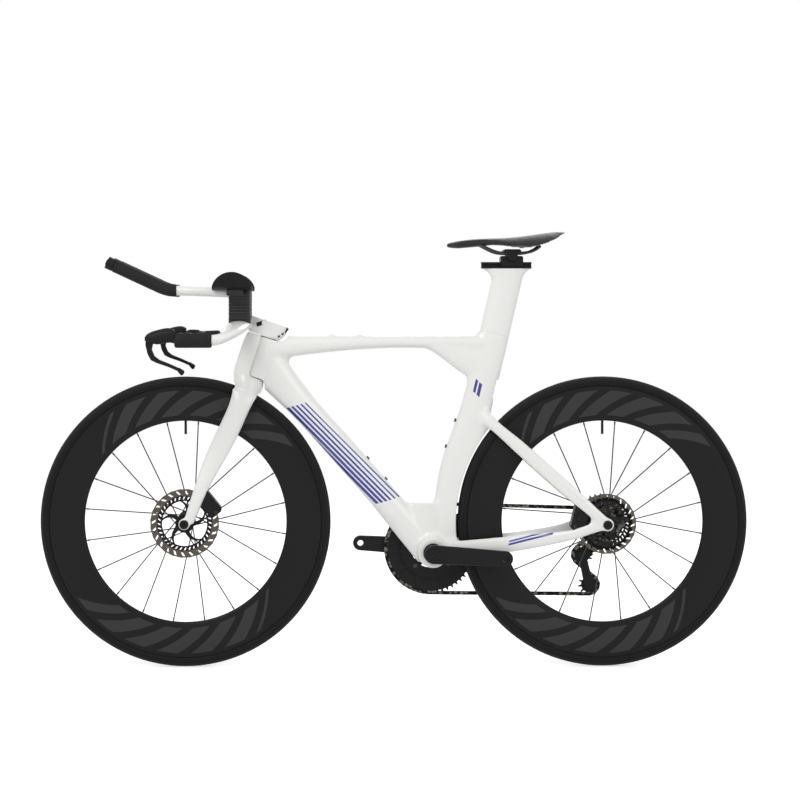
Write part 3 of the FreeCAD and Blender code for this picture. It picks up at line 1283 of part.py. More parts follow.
def toothed(spot, teeth, phase, thickness, pointed):
    """Disc with a seat for a chain roller between every two teeth."""
    radius = pitch_radius(teeth)
    root = radius - n.roller_radius - n.roller_gap
    floor = n.tooth_gap_width / 2
    tip = floor + (n.tooth_height + radius - root) * flank_share
    points = []
    for i in range(int(teeth)):
        angle = phase + 2 * math.pi * i / teeth
        out = V(math.cos(angle), 0, math.sin(angle))
        over = V(-math.sin(angle), 0, math.cos(angle))
        crest = radius + n.tooth_height
        if not pointed:
            points.append(spot + out * crest - over * tip)
        points.append(spot + out * root - over * floor)
        points.append(spot + out * root + over * floor)
        if pointed:
            half_step = angle + math.pi / teeth
            points.append(spot + V(math.cos(half_step), 0, math.sin(half_step)) * crest)
        else:
            points.append(spot + out * crest + over * tip)
    face_shift = ALONG_Y * (-thickness / 2)
    return prism([point + face_shift for point in points], ALONG_Y * thickness)


# Chainrings, their bolts, the cranks and the bottom bracket's bearing cups
ring_spot = bottom_bracket + ALONG_Y * n.chain_line
small_spot = ring_spot - ALONG_Y * n.ring_step
spider_low = ring_spot + ALONG_Y * (n.ring_thickness / 2)
arm_count = int(n.ring_window_count)
bolt_ways = [heading(n.crank_turn_angle + 360 * (i + half_share) / arm_count) for i in range(arm_count)]


def through(spot, low, high, radius):
    return rod(spot + ALONG_Y * low, spot + ALONG_Y * high, radius)


half_ring = n.ring_thickness / 2
band_radius = ring_radius - n.roller_radius - n.ring_band
ring_shape = toothed(ring_spot, n.ring_teeth, phase_of(ring_spot, ring_radius), n.ring_thickness, False)
ring_shape = ring_shape.cut(through(ring_spot, -n.overrun, n.overrun, band_radius))
lugs = []
for way in bolt_ways:
    wide = way.cross(ALONG_Y) * n.ring_lug_radius
    inner_end = ring_spot + way * n.ring_bolt_circle - ALONG_Y * half_ring
    outer_end = ring_spot + way * (band_radius + n.overrun) - ALONG_Y * half_ring
    lugs.append(prism([inner_end - wide, outer_end - wide, outer_end + wide, inner_end + wide],
                      ALONG_Y * n.ring_thickness))
    lugs.append(through(ring_spot + way * n.ring_bolt_circle, -half_ring, half_ring, n.ring_lug_radius))
ring_shape = joined([ring_shape] + lugs)
small_shape = toothed(small_spot, n.small_ring_teeth, 0, n.ring_thickness, True)
small_shape = small_shape.cut(through(small_spot, -n.overrun, n.overrun,
                                      n.ring_bolt_circle - n.ring_lug_radius))
bolt_list = []
bolt_low = -n.ring_step - half_ring - n.ring_bolt_head
bolt_high = half_ring + n.spider_thickness + n.ring_bolt_head
for way in bolt_ways:
    spot = ring_spot + way * n.ring_bolt_circle
    shank = through(spot, bolt_low, bolt_high, n.ring_bolt_radius)
    spacer = through(spot, half_ring - n.ring_step, -half_ring, n.ring_bolt_radius + n.ring_bolt_head)
    bolt_list.append(shank.fuse(spacer))
    ring_shape = ring_shape.cut(through(spot, -n.overrun, n.overrun, n.ring_bolt_radius))
    small_shape = small_shape.cut(through(spot, -n.overrun - n.ring_step, n.overrun, n.ring_bolt_radius))
keep("chainring_outer", ring_shape)
keep("chainring_inner", small_shape)
keep("chainring_bolts", Part.makeCompound(bolt_list))


def crank_arm(way, spot, thickness):
    """Arm with round ends, tapering from the boss to the pedal hole."""
    up = way.cross(ALONG_Y)
    end = spot + way * n.crank_length
    slope = (n.crank_boss_radius - n.crank_end_radius) / n.crank_length
    rise = math.sqrt(1 - slope * slope)
    top_way = way * slope + up * rise
    low_way = way * slope - up * rise
    wire = Part.Wire([Part.LineSegment(spot + top_way * n.crank_boss_radius,
                                       end + top_way * n.crank_end_radius).toShape(),
                      Part.Arc(end + top_way * n.crank_end_radius, end + way * n.crank_end_radius,
                               end + low_way * n.crank_end_radius).toShape(),
                      Part.LineSegment(end + low_way * n.crank_end_radius,
                                       spot + low_way * n.crank_boss_radius).toShape(),
                      Part.Arc(spot + low_way * n.crank_boss_radius, spot - way * n.crank_boss_radius,
                               spot + top_way * n.crank_boss_radius).toShape()])
    made = Part.Face(wire).extrude(ALONG_Y * thickness)
    outer = [e for e in made.Edges if abs(e.BoundBox.YMax - e.BoundBox.YMin) < n.fit_gap]
    return made.makeFillet(n.crank_round, outer)


left_way = heading(-n.crank_turn_angle)
right_way = left_way * -1
arm_low = n.crank_face - n.crank_thickness
left_arm = crank_arm(left_way, bottom_bracket - ALONG_Y * n.crank_face, n.crank_thickness)
left_arm = left_arm.fuse(through(bottom_bracket, -arm_low - n.overrun / 2, -n.crank_boss_inner,
                                 n.crank_boss_radius - n.crank_round))
left_arm = left_arm.cut(through(bottom_bracket, -n.crank_face * 2, 0, n.spindle_radius))
pedal_left = bottom_bracket + left_way * n.crank_length
left_arm = left_arm.cut(through(pedal_left, -n.crank_face * 2, 0, n.pedal_hole_radius))
keep("crank_arm_left", left_arm)

right_arm = crank_arm(right_way, bottom_bracket + ALONG_Y * arm_low, n.crank_thickness)
pedal_right = bottom_bracket + right_way * n.crank_length
right_arm = right_arm.cut(through(pedal_right, 0, n.crank_face * 2, n.pedal_hole_radius))
pieces = [through(bottom_bracket, n.chain_line + half_ring, arm_low - n.fit_gap, n.crank_boss_radius)]
for way in bolt_ways:
    wide = way.cross(ALONG_Y) * (n.spider_arm_width / 2)
    outer_end = spider_low + way * n.ring_bolt_circle
    pieces.append(prism([spider_low - wide, outer_end - wide * spider_taper_share,
                         outer_end + wide * spider_taper_share, spider_low + wide],
                        ALONG_Y * n.spider_thickness))
    pieces.append(through(outer_end, 0, n.spider_thickness, n.ring_lug_radius))
spider = joined(pieces)
for way in bolt_ways:
    spider = spider.cut(through(spider_low + way * n.ring_bolt_circle, -n.overrun,
                                n.spider_thickness + n.overrun, n.ring_bolt_radius))
spindle = through(bottom_bracket, -n.crank_face, n.chain_line + half_ring - n.fit_gap, n.spindle_radius)
spindle_hollow = through(bottom_bracket, -n.crank_face * 2, n.crank_face * 2,
                         n.spindle_radius - n.spindle_wall)
right_arm = Part.makeCompound([piece.cut(spindle_hollow) for piece in (right_arm, spider, spindle)])
keep("crank_arm_right", right_arm)

shell_end = n.bb_shell_width / 2
cup_piece = joined([through(bottom_bracket, shell_end, shell_end + n.cup_flange_height - n.side_gap,
                            n.cup_flange_radius),
                    through(bottom_bracket, shell_end - n.cup_flange_height * 2, shell_end,
                            n.bb_bore_radius)])
cup_piece = cup_piece.cut(through(bottom_bracket, 0, n.bb_shell_width, n.spindle_radius + n.fit_gap))
keep("bottom_bracket_cups", both(cup_piece))

# Sprockets in steps, on a freehub core with its lockring
cog_spot = rear_axle + ALONG_Y * n.cassette_out
stack = [through(cog_spot, -n.sprocket_step * len(SPROCKET_TEETH) + n.sprocket_step, n.sprocket_thickness,
                 n.core_radius)]
for step, teeth in enumerate(SPROCKET_TEETH):
    phase = phase_of(cog_spot, cog_radius) if step == 0 else 0
    stack.append(toothed(cog_spot - ALONG_Y * (n.sprocket_step * step), teeth, phase,
                         n.sprocket_thickness, step > 0))
stack.append(through(cog_spot, 0, n.lockring_height, n.lockring_radius))
sprockets = stack[0].multiFuse(stack[1:])
sprockets = sprockets.cut(through(cog_spot, -n.cassette_out, n.cassette_out, n.axle_radius + n.fit_gap))
keep("sprockets", sprockets)

# Rear derailleur: mount, two links, knuckle, cage and two pulleys
tip_way_link = heading(n.link_lean_angle)
pin_way = heading(n.link_lean_angle + 90)
swing_out = n.link_length * math.sin(math.radians(n.link_swing_angle))
swing_flat = n.link_length * math.cos(math.radians(n.link_swing_angle))
cage_out = n.cage_gap + n.cage_plate
eye_radius = n.link_pin_radius * link_eye_share
knuckle_low = n.cassette_out + cage_out + n.knuckle_gap
knuckle_middle = knuckle_low + n.link_spread / 2 + eye_radius
knuckle_pin = V(guide.x, 0, guide.z) + tip_way_link * n.knuckle_rise
mount_pin = knuckle_pin + tip_way_link * swing_flat
pin_half = n.link_width / 2
cheek_low = pin_half + n.knuckle_gap
cheek_high = cheek_low + n.link_thickness
lower_pins = []
upper_pins = []
for side, node in ((half_share, "derailleur_outer_link"), (-half_share, "derailleur_inner_link")):
    low_pin = knuckle_pin + ALONG_Y * (knuckle_middle + n.link_spread * side)
    high_pin = mount_pin + ALONG_Y * (knuckle_middle - swing_out + n.link_spread * side)
    lower_pins.append(low_pin)
    upper_pins.append(high_pin)
    way = (low_pin - high_pin).normalize()
    flat = way.cross(pin_way) * (n.link_thickness / 2)
    corner = pin_way * -pin_half
    bar = prism([high_pin + corner - flat, low_pin + corner - flat, low_pin + corner + flat,
                 high_pin + corner + flat], pin_way * n.link_width)
    eyes = [rod(spot + corner, spot - corner, eye_radius) for spot in (low_pin, high_pin)]
    link_shape = joined([bar] + eyes)
    for spot, gap in ((high_pin, n.fit_gap), (low_pin, n.fit_gap if side > 0 else n.slide_gap)):
        link_shape = link_shape.cut(rod(spot + corner * 2, spot - corner * 2, n.link_pin_radius + gap))
    keep(node, link_shape)


def ears(spots, back):
    """Two cheeks that hold a pair of link pins."""
    made = []
    reach = ALONG_Y * eye_radius
    for side in (-1, 1):
        low = pin_way * (cheek_low if side > 0 else -cheek_high)
        for spot in spots:
            made.append(rod(spot + low, spot + low + pin_way * n.link_thickness, eye_radius))
        first, last = spots[1] - reach, spots[0] + reach
        made.append(prism([first + low, last + low, last + back + low, first + back + low],
                          pin_way * n.link_thickness))
    return made + [rod(spot - pin_way * cheek_high, spot + pin_way * cheek_high, n.link_pin_radius)
                   for spot in spots]


bridge_back = tip_way_link * (eye_radius + n.knuckle_gap)
bridge_depth = tip_way_link * n.link_thickness


def bridge(spots, back, depth):
    """Wall that ties the two cheeks together clear of the links' eyes."""
    reach = ALONG_Y * eye_radius
    first = spots[1] - reach + back - pin_way * cheek_high
    last = spots[0] + reach + back - pin_way * cheek_high
    return prism([first, last, last + depth, first + depth], pin_way * (cheek_high * 2))


hanger_out = hanger_spot + ALONG_Y * n.hanger_thickness
mount_barrel = rod(hanger_out + ALONG_Y * n.side_gap, hanger_out + ALONG_Y * n.mount_length, n.mount_radius)
mount_bolt = rod(hanger_spot, hanger_out + ALONG_Y * n.mount_length, n.hanger_bolt_radius)
mount_wall = bridge(upper_pins, bridge_back, bridge_depth)
wall_end = upper_pins[0] + bridge_back + ALONG_Y * eye_radius
arm_top = hanger_out + ALONG_Y * n.mount_length
arm = prism([wall_end, wall_end + bridge_depth,
             V(hanger_spot.x + n.mount_radius, wall_end.y, hanger_spot.z),
             V(hanger_spot.x - n.mount_radius, wall_end.y, hanger_spot.z)],
            ALONG_Y * (arm_top.y - wall_end.y))
arm = arm.cut(block(V(hanger_spot.x - n.mount_radius * 2, wall_end.y - n.overrun,
                      hanger_spot.z - hanger_round - n.knuckle_gap),
                    V(hanger_spot.x + n.mount_radius * 2, hanger_out.y + n.side_gap,
                      hanger_spot.z + n.mount_radius)))
mount_shape = joined(ears(upper_pins, bridge_back + bridge_depth)
                     + [mount_wall, arm, mount_barrel, mount_bolt])
keep("derailleur_mount", mount_shape.cut(nodes["rear_stays"].Shape))

barrel = through(V(guide.x, 0, guide.z), knuckle_low, knuckle_low + n.knuckle_length, n.knuckle_radius)
knuckle_shape = joined(ears(lower_pins, bridge_back * -1 - bridge_depth)
                       + [bridge(lower_pins, bridge_back * -1, bridge_depth * -1), barrel])
knuckle_shape = knuckle_shape.cut(through(V(guide.x, 0, guide.z), 0, n.cassette_out * 2,
                                          n.cage_pin_radius + n.fit_gap))
keep("derailleur_knuckle", knuckle_shape)

plate = []
down = (tension - guide).normalize()
wide = down.cross(ALONG_Y) * n.cage_round
for shift in (-cage_out, n.cage_gap):
    for spot in (guide, tension):
        plate.append(through(spot, shift, shift + n.cage_plate, n.cage_round))
    first, last = guide + ALONG_Y * shift, tension + ALONG_Y * shift
    plate.append(prism([first - wide * cage_waist_share, last - wide, last + wide,
                        first + wide * cage_waist_share], ALONG_Y * n.cage_plate))
plate += [through(spot, -cage_out, cage_out, n.pulley_bore_radius) for spot in (guide, tension)]
plate.append(through(guide, n.cage_gap, cage_out + n.knuckle_gap + n.knuckle_length, n.cage_pin_radius))
keep("derailleur_cage", joined(plate))
for node, spot in (("guide_pulley", guide), ("tension_pulley", tension)):
    wheel = toothed(spot, n.pulley_teeth, phase_of(spot, pulley_radius), n.pulley_thickness, False)
    keep(node, wheel.cut(through(spot, -n.overrun, n.overrun, n.pulley_bore_radius + n.fit_gap)))

# Front derailleur: a cage over the outer ring that slides on its body's guide pin
fd_pin = bottom_bracket + V(n.fd_pin_back, 0, n.fd_pin_height)
fd_inner_radius = ring_radius - n.fd_overlap
fd_outer_radius = ring_radius + n.fd_height


def fd_point(angle_share, radius):
    angle = n.fd_start_angle + n.fd_sweep_angle * angle_share
    return bottom_bracket + heading(angle) * radius


cage_sides = []
# The outer side passes over the teeth, the inner one reaches down behind them
for low, foot in ((n.chain_line - n.fd_gap - n.fd_plate, fd_inner_radius),
                  (n.chain_line + n.fd_outer_gap, ring_radius + n.tooth_height + n.fd_tooth_gap)):
    outline = [fd_point(k / 4, foot) for k in range(5)]
    outline += [fd_point(k / 4, fd_outer_radius) for k in (4, 3, 2, 1, 0)]
    cage_sides.append(prism([spot + ALONG_Y * low for spot in outline], ALONG_Y * n.fd_plate))
fd_top = [fd_point(k / 4, fd_outer_radius - n.fd_plate)
          for k in range(5)] + [fd_point(k / 4, fd_outer_radius) for k in (4, 3, 2, 1, 0)]
fd_low = n.chain_line - n.fd_gap - n.fd_plate
cage_sides.append(prism([spot + ALONG_Y * fd_low for spot in fd_top],
                        ALONG_Y * (n.fd_gap + n.fd_outer_gap + n.fd_plate * 2)))
fd_foot = fd_point(fd_arm_share, fd_outer_radius - n.fd_plate)
fd_wide = ALONG_X * n.fd_pin_radius * fd_arm_wide_share
fd_arm = prism([fd_foot - fd_wide + ALONG_Y * fd_low, fd_foot + fd_wide + ALONG_Y * fd_low,
                fd_pin + fd_wide + ALONG_Y * fd_low, fd_pin - fd_wide + ALONG_Y * fd_low],
               ALONG_Y * n.fd_arm)
fd_eye = through(fd_pin, fd_low, fd_low + n.fd_arm, n.fd_pin_radius * fd_arm_wide_share)
fd_guide = through(fd_pin, n.fd_body_out - n.fd_pin_reach, fd_low + n.fd_arm, n.fd_pin_radius)
keep("front_derailleur_cage", joined(cage_sides + [fd_arm, fd_eye, fd_guide]))
fd_body = block(V(fd_pin.x - n.fd_body_length / 2, 0, fd_pin.z - n.fd_body_height / 2),
                V(fd_pin.x + n.fd_body_length / 2, n.fd_body_out, fd_pin.z + n.fd_body_height / 2))
fd_body = fd_body.makeChamfer(n.fd_pin_radius,
                              [e for e in fd_body.Edges if abs(e.tangentAt(0).y) > half_share])
fd_body = fd_body.cut(through(fd_pin, n.fd_body_out - n.fd_bore_depth, n.fd_body_out + n.overrun,
                              n.fd_pin_radius + n.fit_gap))
keep("front_derailleur_body", max(fd_body.cut(frame_shape).Solids, key=lambda s: s.Volume))


# Every object must be sound before anything is written
doc.recompute()
for item in doc.Objects:
    if "Invalid" in item.State or "Error" in item.State:
        raise RuntimeError("failed: %s %s" % (item.Name, item.State))
for node, item in nodes.items():
    if item.Shape.isNull() or not item.Shape.isValid():
        raise RuntimeError("not a sound shape: " + node)
for node, item in nodes.items():
    item.Shape.exportStep("parts/%s.step" % node)
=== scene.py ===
import math

import bpy
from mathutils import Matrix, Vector
from mathutils.bvhtree import BVHTree


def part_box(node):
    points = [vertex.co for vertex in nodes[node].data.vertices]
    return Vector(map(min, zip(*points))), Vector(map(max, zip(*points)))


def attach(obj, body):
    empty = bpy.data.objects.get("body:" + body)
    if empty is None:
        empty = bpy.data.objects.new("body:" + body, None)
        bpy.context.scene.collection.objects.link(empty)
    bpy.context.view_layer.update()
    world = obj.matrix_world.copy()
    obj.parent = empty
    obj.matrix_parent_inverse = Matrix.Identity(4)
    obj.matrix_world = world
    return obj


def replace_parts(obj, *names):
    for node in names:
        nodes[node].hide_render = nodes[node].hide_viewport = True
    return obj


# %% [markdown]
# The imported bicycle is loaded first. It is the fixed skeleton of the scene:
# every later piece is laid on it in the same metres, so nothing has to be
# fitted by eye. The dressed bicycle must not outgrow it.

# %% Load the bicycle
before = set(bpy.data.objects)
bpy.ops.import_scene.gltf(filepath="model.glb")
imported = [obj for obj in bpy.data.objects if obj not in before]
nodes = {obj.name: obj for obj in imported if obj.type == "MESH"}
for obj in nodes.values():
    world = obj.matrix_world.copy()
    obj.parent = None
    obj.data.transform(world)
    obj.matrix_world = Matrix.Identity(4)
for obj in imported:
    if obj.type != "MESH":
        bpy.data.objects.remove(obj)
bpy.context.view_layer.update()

# %% [markdown]
# Three wheel and crank centres are needed again and again, for round finishes
# and for pieces that repeat round an axle. They are read off the pieces'
# own boxes, which is safer than typing them a second time.

# %% Centres of the turning pieces
def middle_of(node):
    low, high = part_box(node)
    return (low + high) / 2


front_axle = middle_of("front_tyre")
rear_axle = middle_of("rear_tyre")
crank_axle = middle_of("chainring_outer")
for axle in (front_axle, rear_axle, crank_axle):
    axle.y = 0
print("axles", [round(v, 4) for v in front_axle], [round(v, 4) for v in rear_axle])

# %% [markdown]
# The photograph was taken square to the left side, from about four metres.
# A short lens from nearby would fill the picture too, but it would stretch the
# wheels, so the lens is long. The small shift moves the bicycle in the picture
# the way the photographer's crop did.

# %% Camera
bpy.ops.object.select_all(action="DESELECT")
eye, tilt, pan = (-0.2079, -4.1553, 0.8395), -0.0077, -0.0084
bpy.ops.object.camera_add(location=eye, rotation=(math.pi / 2 + tilt, 0, pan))
camera = bpy.context.object
camera.name = "side_camera"
camera.data.sensor_width = 36
camera.data.lens = 80.22
camera.data.shift_x = 0.1
camera.data.shift_y = -0.1
bpy.context.scene.camera = camera
print("camera", camera.name, camera.data.lens)

# %% [markdown]
# Finishes are node trees. A painted picture would also do for a finish, but it
# blurs in close views and needs an unwrapped surface. Two small helpers keep the
# cells short: one starts a finish with its gloss, the other adds a node and
# wires its inputs in one go.

# %% Starting a finish
def finish(name, colour, roughness, metallic=0.0, coat=0.0, coat_roughness=0.05):
    material = bpy.data.materials.new(name)
    material.use_nodes = True
    shader = material.node_tree.nodes["Principled BSDF"]
    shader.inputs["Base Color"].default_value = (*colour, 1)
    shader.inputs["Roughness"].default_value = roughness
    shader.inputs["Metallic"].default_value = metallic
    shader.inputs["Coat Weight"].default_value = coat
    shader.inputs["Coat Roughness"].default_value = coat_roughness
    return material, material.node_tree, shader


def add(tree, kind, settings=None, **wires):
    made = tree.nodes.new(kind)
    for key, value in (settings or {}).items():
        setattr(made, key, value)
    for key, value in wires.items():
        name = key.replace("_", " ")
        socket = made.inputs[int(key[1:])] if key[0] == "i" and key[1:].isdigit() else made.inputs[name]
        if isinstance(value, bpy.types.NodeSocket):
            tree.links.new(value, socket)
        else:
            socket.default_value = value
    return made


print("finishes can be started")

# %% [markdown]
# Every pattern on the bicycle is built from a few steps: where a point lies,
# noise at that place, arithmetic on a value, and a blend of two colours. The
# place is always the piece's own Object coordinate in metres, so that a pattern
# stays on its piece when the piece moves.

# %% Steps of a pattern
def place(tree):
    return add(tree, "ShaderNodeTexCoord").outputs["Object"]


def parts_of(tree, where):
    return add(tree, "ShaderNodeSeparateXYZ", None, Vector=where).outputs


def vector_of(tree, operation, first, second=(0.0, 0.0, 0.0)):
    made = add(tree, "ShaderNodeVectorMath", {"operation": operation}, i0=first, i1=second)
    return made.outputs["Value" if operation in ("LENGTH", "DOT_PRODUCT") else "Vector"]


def noise(tree, where, scale, detail=2.0):
    return add(tree, "ShaderNodeTexNoise", None, Vector=where, Scale=scale, Detail=detail).outputs["Fac"]


def spread(tree, value, low, high, start=0.0, end=1.0):
    made = add(tree, "ShaderNodeMapRange", None, Value=value)
    made.inputs["From Min"].default_value = start
    made.inputs["From Max"].default_value = end
    made.inputs["To Min"].default_value = low
    made.inputs["To Max"].default_value = high
    return made.outputs["Result"]


def sum_of(tree, operation, first, second=0.0, third=0.0):
    return add(tree, "ShaderNodeMath", {"operation": operation}, i0=first, i1=second, i2=third).outputs[0]


def mixed(tree, share, first, second):
    made = add(tree, "ShaderNodeMix", {"data_type": "RGBA"})
    for socket, value in ((made.inputs[0], share), (made.inputs[6], first), (made.inputs[7], second)):
        if isinstance(value, bpy.types.NodeSocket):
            tree.links.new(value, socket)
        else:
            socket.default_value = value if isinstance(value, float) else (*value, 1)
    return made.outputs[2]


def bump(tree, shader, height, strength, distance):
    made = add(tree, "ShaderNodeBump", None, Height=height, Strength=strength, Distance=distance)
    tree.links.new(made.outputs[0], shader.inputs["Normal"])


print("steps of a pattern are ready")

# %% [markdown]
# The frame's paint is a warm white under clear lacquer. A single white would
# look like plaster. Real lacquer is never quite flat: it has a fine orange peel,
# and its gloss wanders a little, so the roughness and the bump both come from
# noise, at two sizes.

# %% White paint
def white_paint(name):
    material, tree, shader = finish(name, (0.8, 0.8, 0.78), 0.28, coat=0.3, coat_roughness=0.08)
    where = place(tree)
    cloud = noise(tree, where, 3.0, 2.0)
    tint = mixed(tree, cloud, (0.785, 0.783, 0.762), (0.8, 0.798, 0.778))
    tree.links.new(tint, shader.inputs["Base Color"])
    tree.links.new(spread(tree, noise(tree, where, 40.0), 0.27, 0.3), shader.inputs["Roughness"])
    bump(tree, shader, noise(tree, where, 900.0, 1.0), 0.01, 0.0003)
    return material, tree, shader, tint


paint = white_paint("white_paint")[0]
print("finish", paint.name)

# %% [markdown]
# Black pieces are of several kinds: moulded plastic with a fine spark grain,
# anodised alloy and steel with a dark finish. One recipe serves them all: two
# close tones in soft patches, a gloss that wanders, and a grain. The chain's
# steel has bright beads about as far apart as its pins, from a cell pattern,
# because the links are too small in the picture for more.

# %% Blacks and steels
def speckled(name, colour, lighter, roughness, grain, depth, metallic=0.0):
    material, tree, shader = finish(name, colour, roughness, metallic)
    where = place(tree)
    shader.inputs["Specular IOR Level"].default_value = 0.16
    tint = mixed(tree, noise(tree, where, 30.0, 4.0), colour, lighter)
    tree.links.new(tint, shader.inputs["Base Color"])
    tree.links.new(spread(tree, noise(tree, where, 120.0, 3.0), roughness - 0.08, roughness + 0.1),
                   shader.inputs["Roughness"])
    bump(tree, shader, noise(tree, where, grain, 2.0), 0.15, depth)
    return material


plastic = speckled("black_plastic", (0.006, 0.006, 0.0065), (0.011, 0.011, 0.012), 0.5, 1600.0, 0.0004)
alloy = speckled("black_alloy", (0.007, 0.007, 0.008), (0.013, 0.013, 0.014), 0.4, 2600.0, 0.0002, 0.2)
dark_steel = speckled("dark_steel", (0.035, 0.035, 0.037), (0.06, 0.06, 0.063), 0.36, 3000.0, 0.0002, 0.8)
plate_dark, pin_bright = (0.008, 0.0075, 0.007), (0.17, 0.158, 0.138)
chain_steel = speckled("chain_steel", plate_dark, pin_bright, 0.4, 3000.0, 0.0002, 0.8)
tree = chain_steel.node_tree
beads = add(tree, "ShaderNodeTexVoronoi", None, Vector=place(tree), Scale=105.0).outputs["Distance"]
beads = spread(tree, beads, 1.0, 0.0, 0.25, 0.6)
tree.links.new(mixed(tree, beads, plate_dark, pin_bright),
               tree.nodes["Principled BSDF"].inputs["Base Color"])
lining = speckled("brake_lining", (0.10, 0.085, 0.07), (0.2, 0.16, 0.13), 0.8, 900.0, 0.001, 0.3)
print("finishes", [m.name for m in (plastic, alloy, dark_steel, chain_steel, lining)])

# %% [markdown]
# Tyres are matt rubber. Fine ribs run round the sidewall, and the tread in the
# middle is a little greyer, from use. The ribs could be cut into the mesh, but
# they stand only a millimetre apart, so a bump from the distance to the axle
# does as well and keeps the mesh light.

# %% Tyre rubber
def wheel_place(tree, axle):
    moved = vector_of(tree, "SUBTRACT", place(tree), tuple(axle))
    along, side, up = parts_of(tree, moved)
    flat = add(tree, "ShaderNodeCombineXYZ", None, X=along, Z=up).outputs[0]
    return moved, vector_of(tree, "LENGTH", flat), sum_of(tree, "ARCTAN2", up, along)


def tyre_rubber(name, axle):
    material, tree, shader = finish(name, (0.015, 0.015, 0.015), 0.62)
    moved, radius, _ = wheel_place(tree, axle)
    tread = spread(tree, radius, 0.0, 1.0, 0.327, 0.333)
    tint = mixed(tree, tread, (0.008, 0.008, 0.008), (0.015, 0.015, 0.015))
    shader.inputs["Specular IOR Level"].default_value = 0.12
    tree.links.new(tint, shader.inputs["Base Color"])
    tree.links.new(spread(tree, noise(tree, moved, 90.0, 3.0), 0.5, 0.72), shader.inputs["Roughness"])
    ribs = sum_of(tree, "SINE", sum_of(tree, "MULTIPLY", radius, 5200.0))
    rough = sum_of(tree, "ADD", sum_of(tree, "MULTIPLY", ribs, 0.25), noise(tree, moved, 900.0))
    bump(tree, shader, rough, 0.25, 0.0006)
    return material


front_rubber = tyre_rubber("front_tyre_rubber", front_axle)
rear_rubber = tyre_rubber("rear_tyre_rubber", rear_axle)
print("finishes", front_rubber.name, rear_rubber.name)

# %% [markdown]
# The deep rims are satin black over carbon fibre. Plain slanted panels of dark
# grey are printed on their flanks in two groups. An unwrapped print would show
# a seam, so the panels come from the angle and the radius about the axle, and
# they turn with the wheel.

# %% Rim finish
def rim_finish(name, axle):
    material, tree, shader = finish(name, (0.016, 0.016, 0.017), 0.42)
    moved, radius, angle = wheel_place(tree, axle)
    lean = sum_of(tree, "ADD", angle, sum_of(tree, "MULTIPLY", radius, 5.0))
    steps = sum_of(tree, "FRACT", sum_of(tree, "MULTIPLY", lean, 24 / math.tau))
    bars = sum_of(tree, "LESS_THAN", steps, 0.62)
    turns = sum_of(tree, "FRACT", sum_of(tree, "ADD", sum_of(tree, "MULTIPLY", lean, 2 / math.tau), 0.32))
    group = sum_of(tree, "LESS_THAN", turns, 0.5)
    band = sum_of(tree, "COMPARE", radius, 0.277, 0.029)
    printed = sum_of(tree, "MULTIPLY", sum_of(tree, "MULTIPLY", bars, group), band)
    weave = add(tree, "ShaderNodeTexChecker", None, Vector=moved, Scale=420.0).outputs["Fac"]
    ground = mixed(tree, weave, (0.005, 0.005, 0.0053), (0.008, 0.008, 0.0083))
    shader.inputs["Specular IOR Level"].default_value = 0.16
    tint = mixed(tree, printed, ground, (0.034, 0.034, 0.036))
    tree.links.new(tint, shader.inputs["Base Color"])
    tree.links.new(spread(tree, noise(tree, moved, 60.0, 3.0), 0.32, 0.46), shader.inputs["Roughness"])
    bump(tree, shader, noise(tree, moved, 500.0), 0.04, 0.0004)
    return material


front_carbon = rim_finish("front_rim_carbon", front_axle)
rear_carbon = rim_finish("rear_rim_carbon", rear_axle)
print("finishes", front_carbon.name, rear_carbon.name)

# %% [markdown]
# A brake rotor is a steel track on a black carrier. One finish serves both,
# changing at the carrier's edge: polished rings outside, black inside. Two
# finishes would do as well, but then the edge would follow the faces and not
# a true circle.

# %% Rotor finish
def rotor_finish(name, axle):
    material, tree, shader = finish(name, (0.5, 0.5, 0.5), 0.3, metallic=1.0)
    _, radius, _ = wheel_place(tree, axle)
    track = spread(tree, radius, 0.0, 1.0, 0.0605, 0.061)
    rings = noise(tree, add(tree, "ShaderNodeCombineXYZ", None, X=radius).outputs[0], 2500.0, 2.0)
    steel = mixed(tree, rings, (0.05, 0.044, 0.036), (0.13, 0.116, 0.095))
    tree.links.new(mixed(tree, track, (0.008, 0.008, 0.009), steel), shader.inputs["Base Color"])
    tree.links.new(spread(tree, rings, 0.2, 0.42), shader.inputs["Roughness"])
    return material


front_rotor_steel = rotor_finish("front_rotor_steel", front_axle)
rear_rotor_steel = rotor_finish("rear_rotor_steel", rear_axle)
print("finishes", front_rotor_steel.name, rear_rotor_steel.name)

# %% [markdown]
# Each constructed piece gets its finish here, also those that a softer piece
# replaces later. The table could go by piece, but it goes by finish, so that a
# repaint is a change in one place.

# %% Finishes of the constructed pieces
wearing = {
    paint: "frame_main rear_stays fork stem base_bar extensions seatpost",
    plastic: "lever_pods armrest_cups saddle extension_button_left extension_button_right "
             "pod_button_left pod_button_right derailleur_knuckle front_derailleur_body "
             "derailleur_outer_link armrest_pads grip_tape guide_pulley tension_pulley",
    alloy: "bottom_bracket_cups headset_bearings rear_caliper front_caliper derailleur_mount seat_track "
           "saddle_carriage saddle_clamp crank_arm_left crank_arm_right chainring_outer chainring_inner "
           "front_hub rear_hub risers brake_lever_left brake_lever_right derailleur_inner_link "
           "derailleur_cage rear_thru_axle front_thru_axle",
    dark_steel: "front_spokes rear_spokes saddle_rails front_derailleur_cage chainring_bolts bottle_bolts",
    chain_steel: "chain sprockets",
    lining: "front_pad_left front_pad_right rear_pad_left rear_pad_right",
    front_rubber: "front_tyre",
    rear_rubber: "rear_tyre",
    front_carbon: "front_rim",
    rear_carbon: "rear_rim",
    front_rotor_steel: "front_rotor",
    rear_rotor_steel: "rear_rotor",
}


def dress(made, material):
    made.data.materials.clear()
    made.data.materials.append(material)


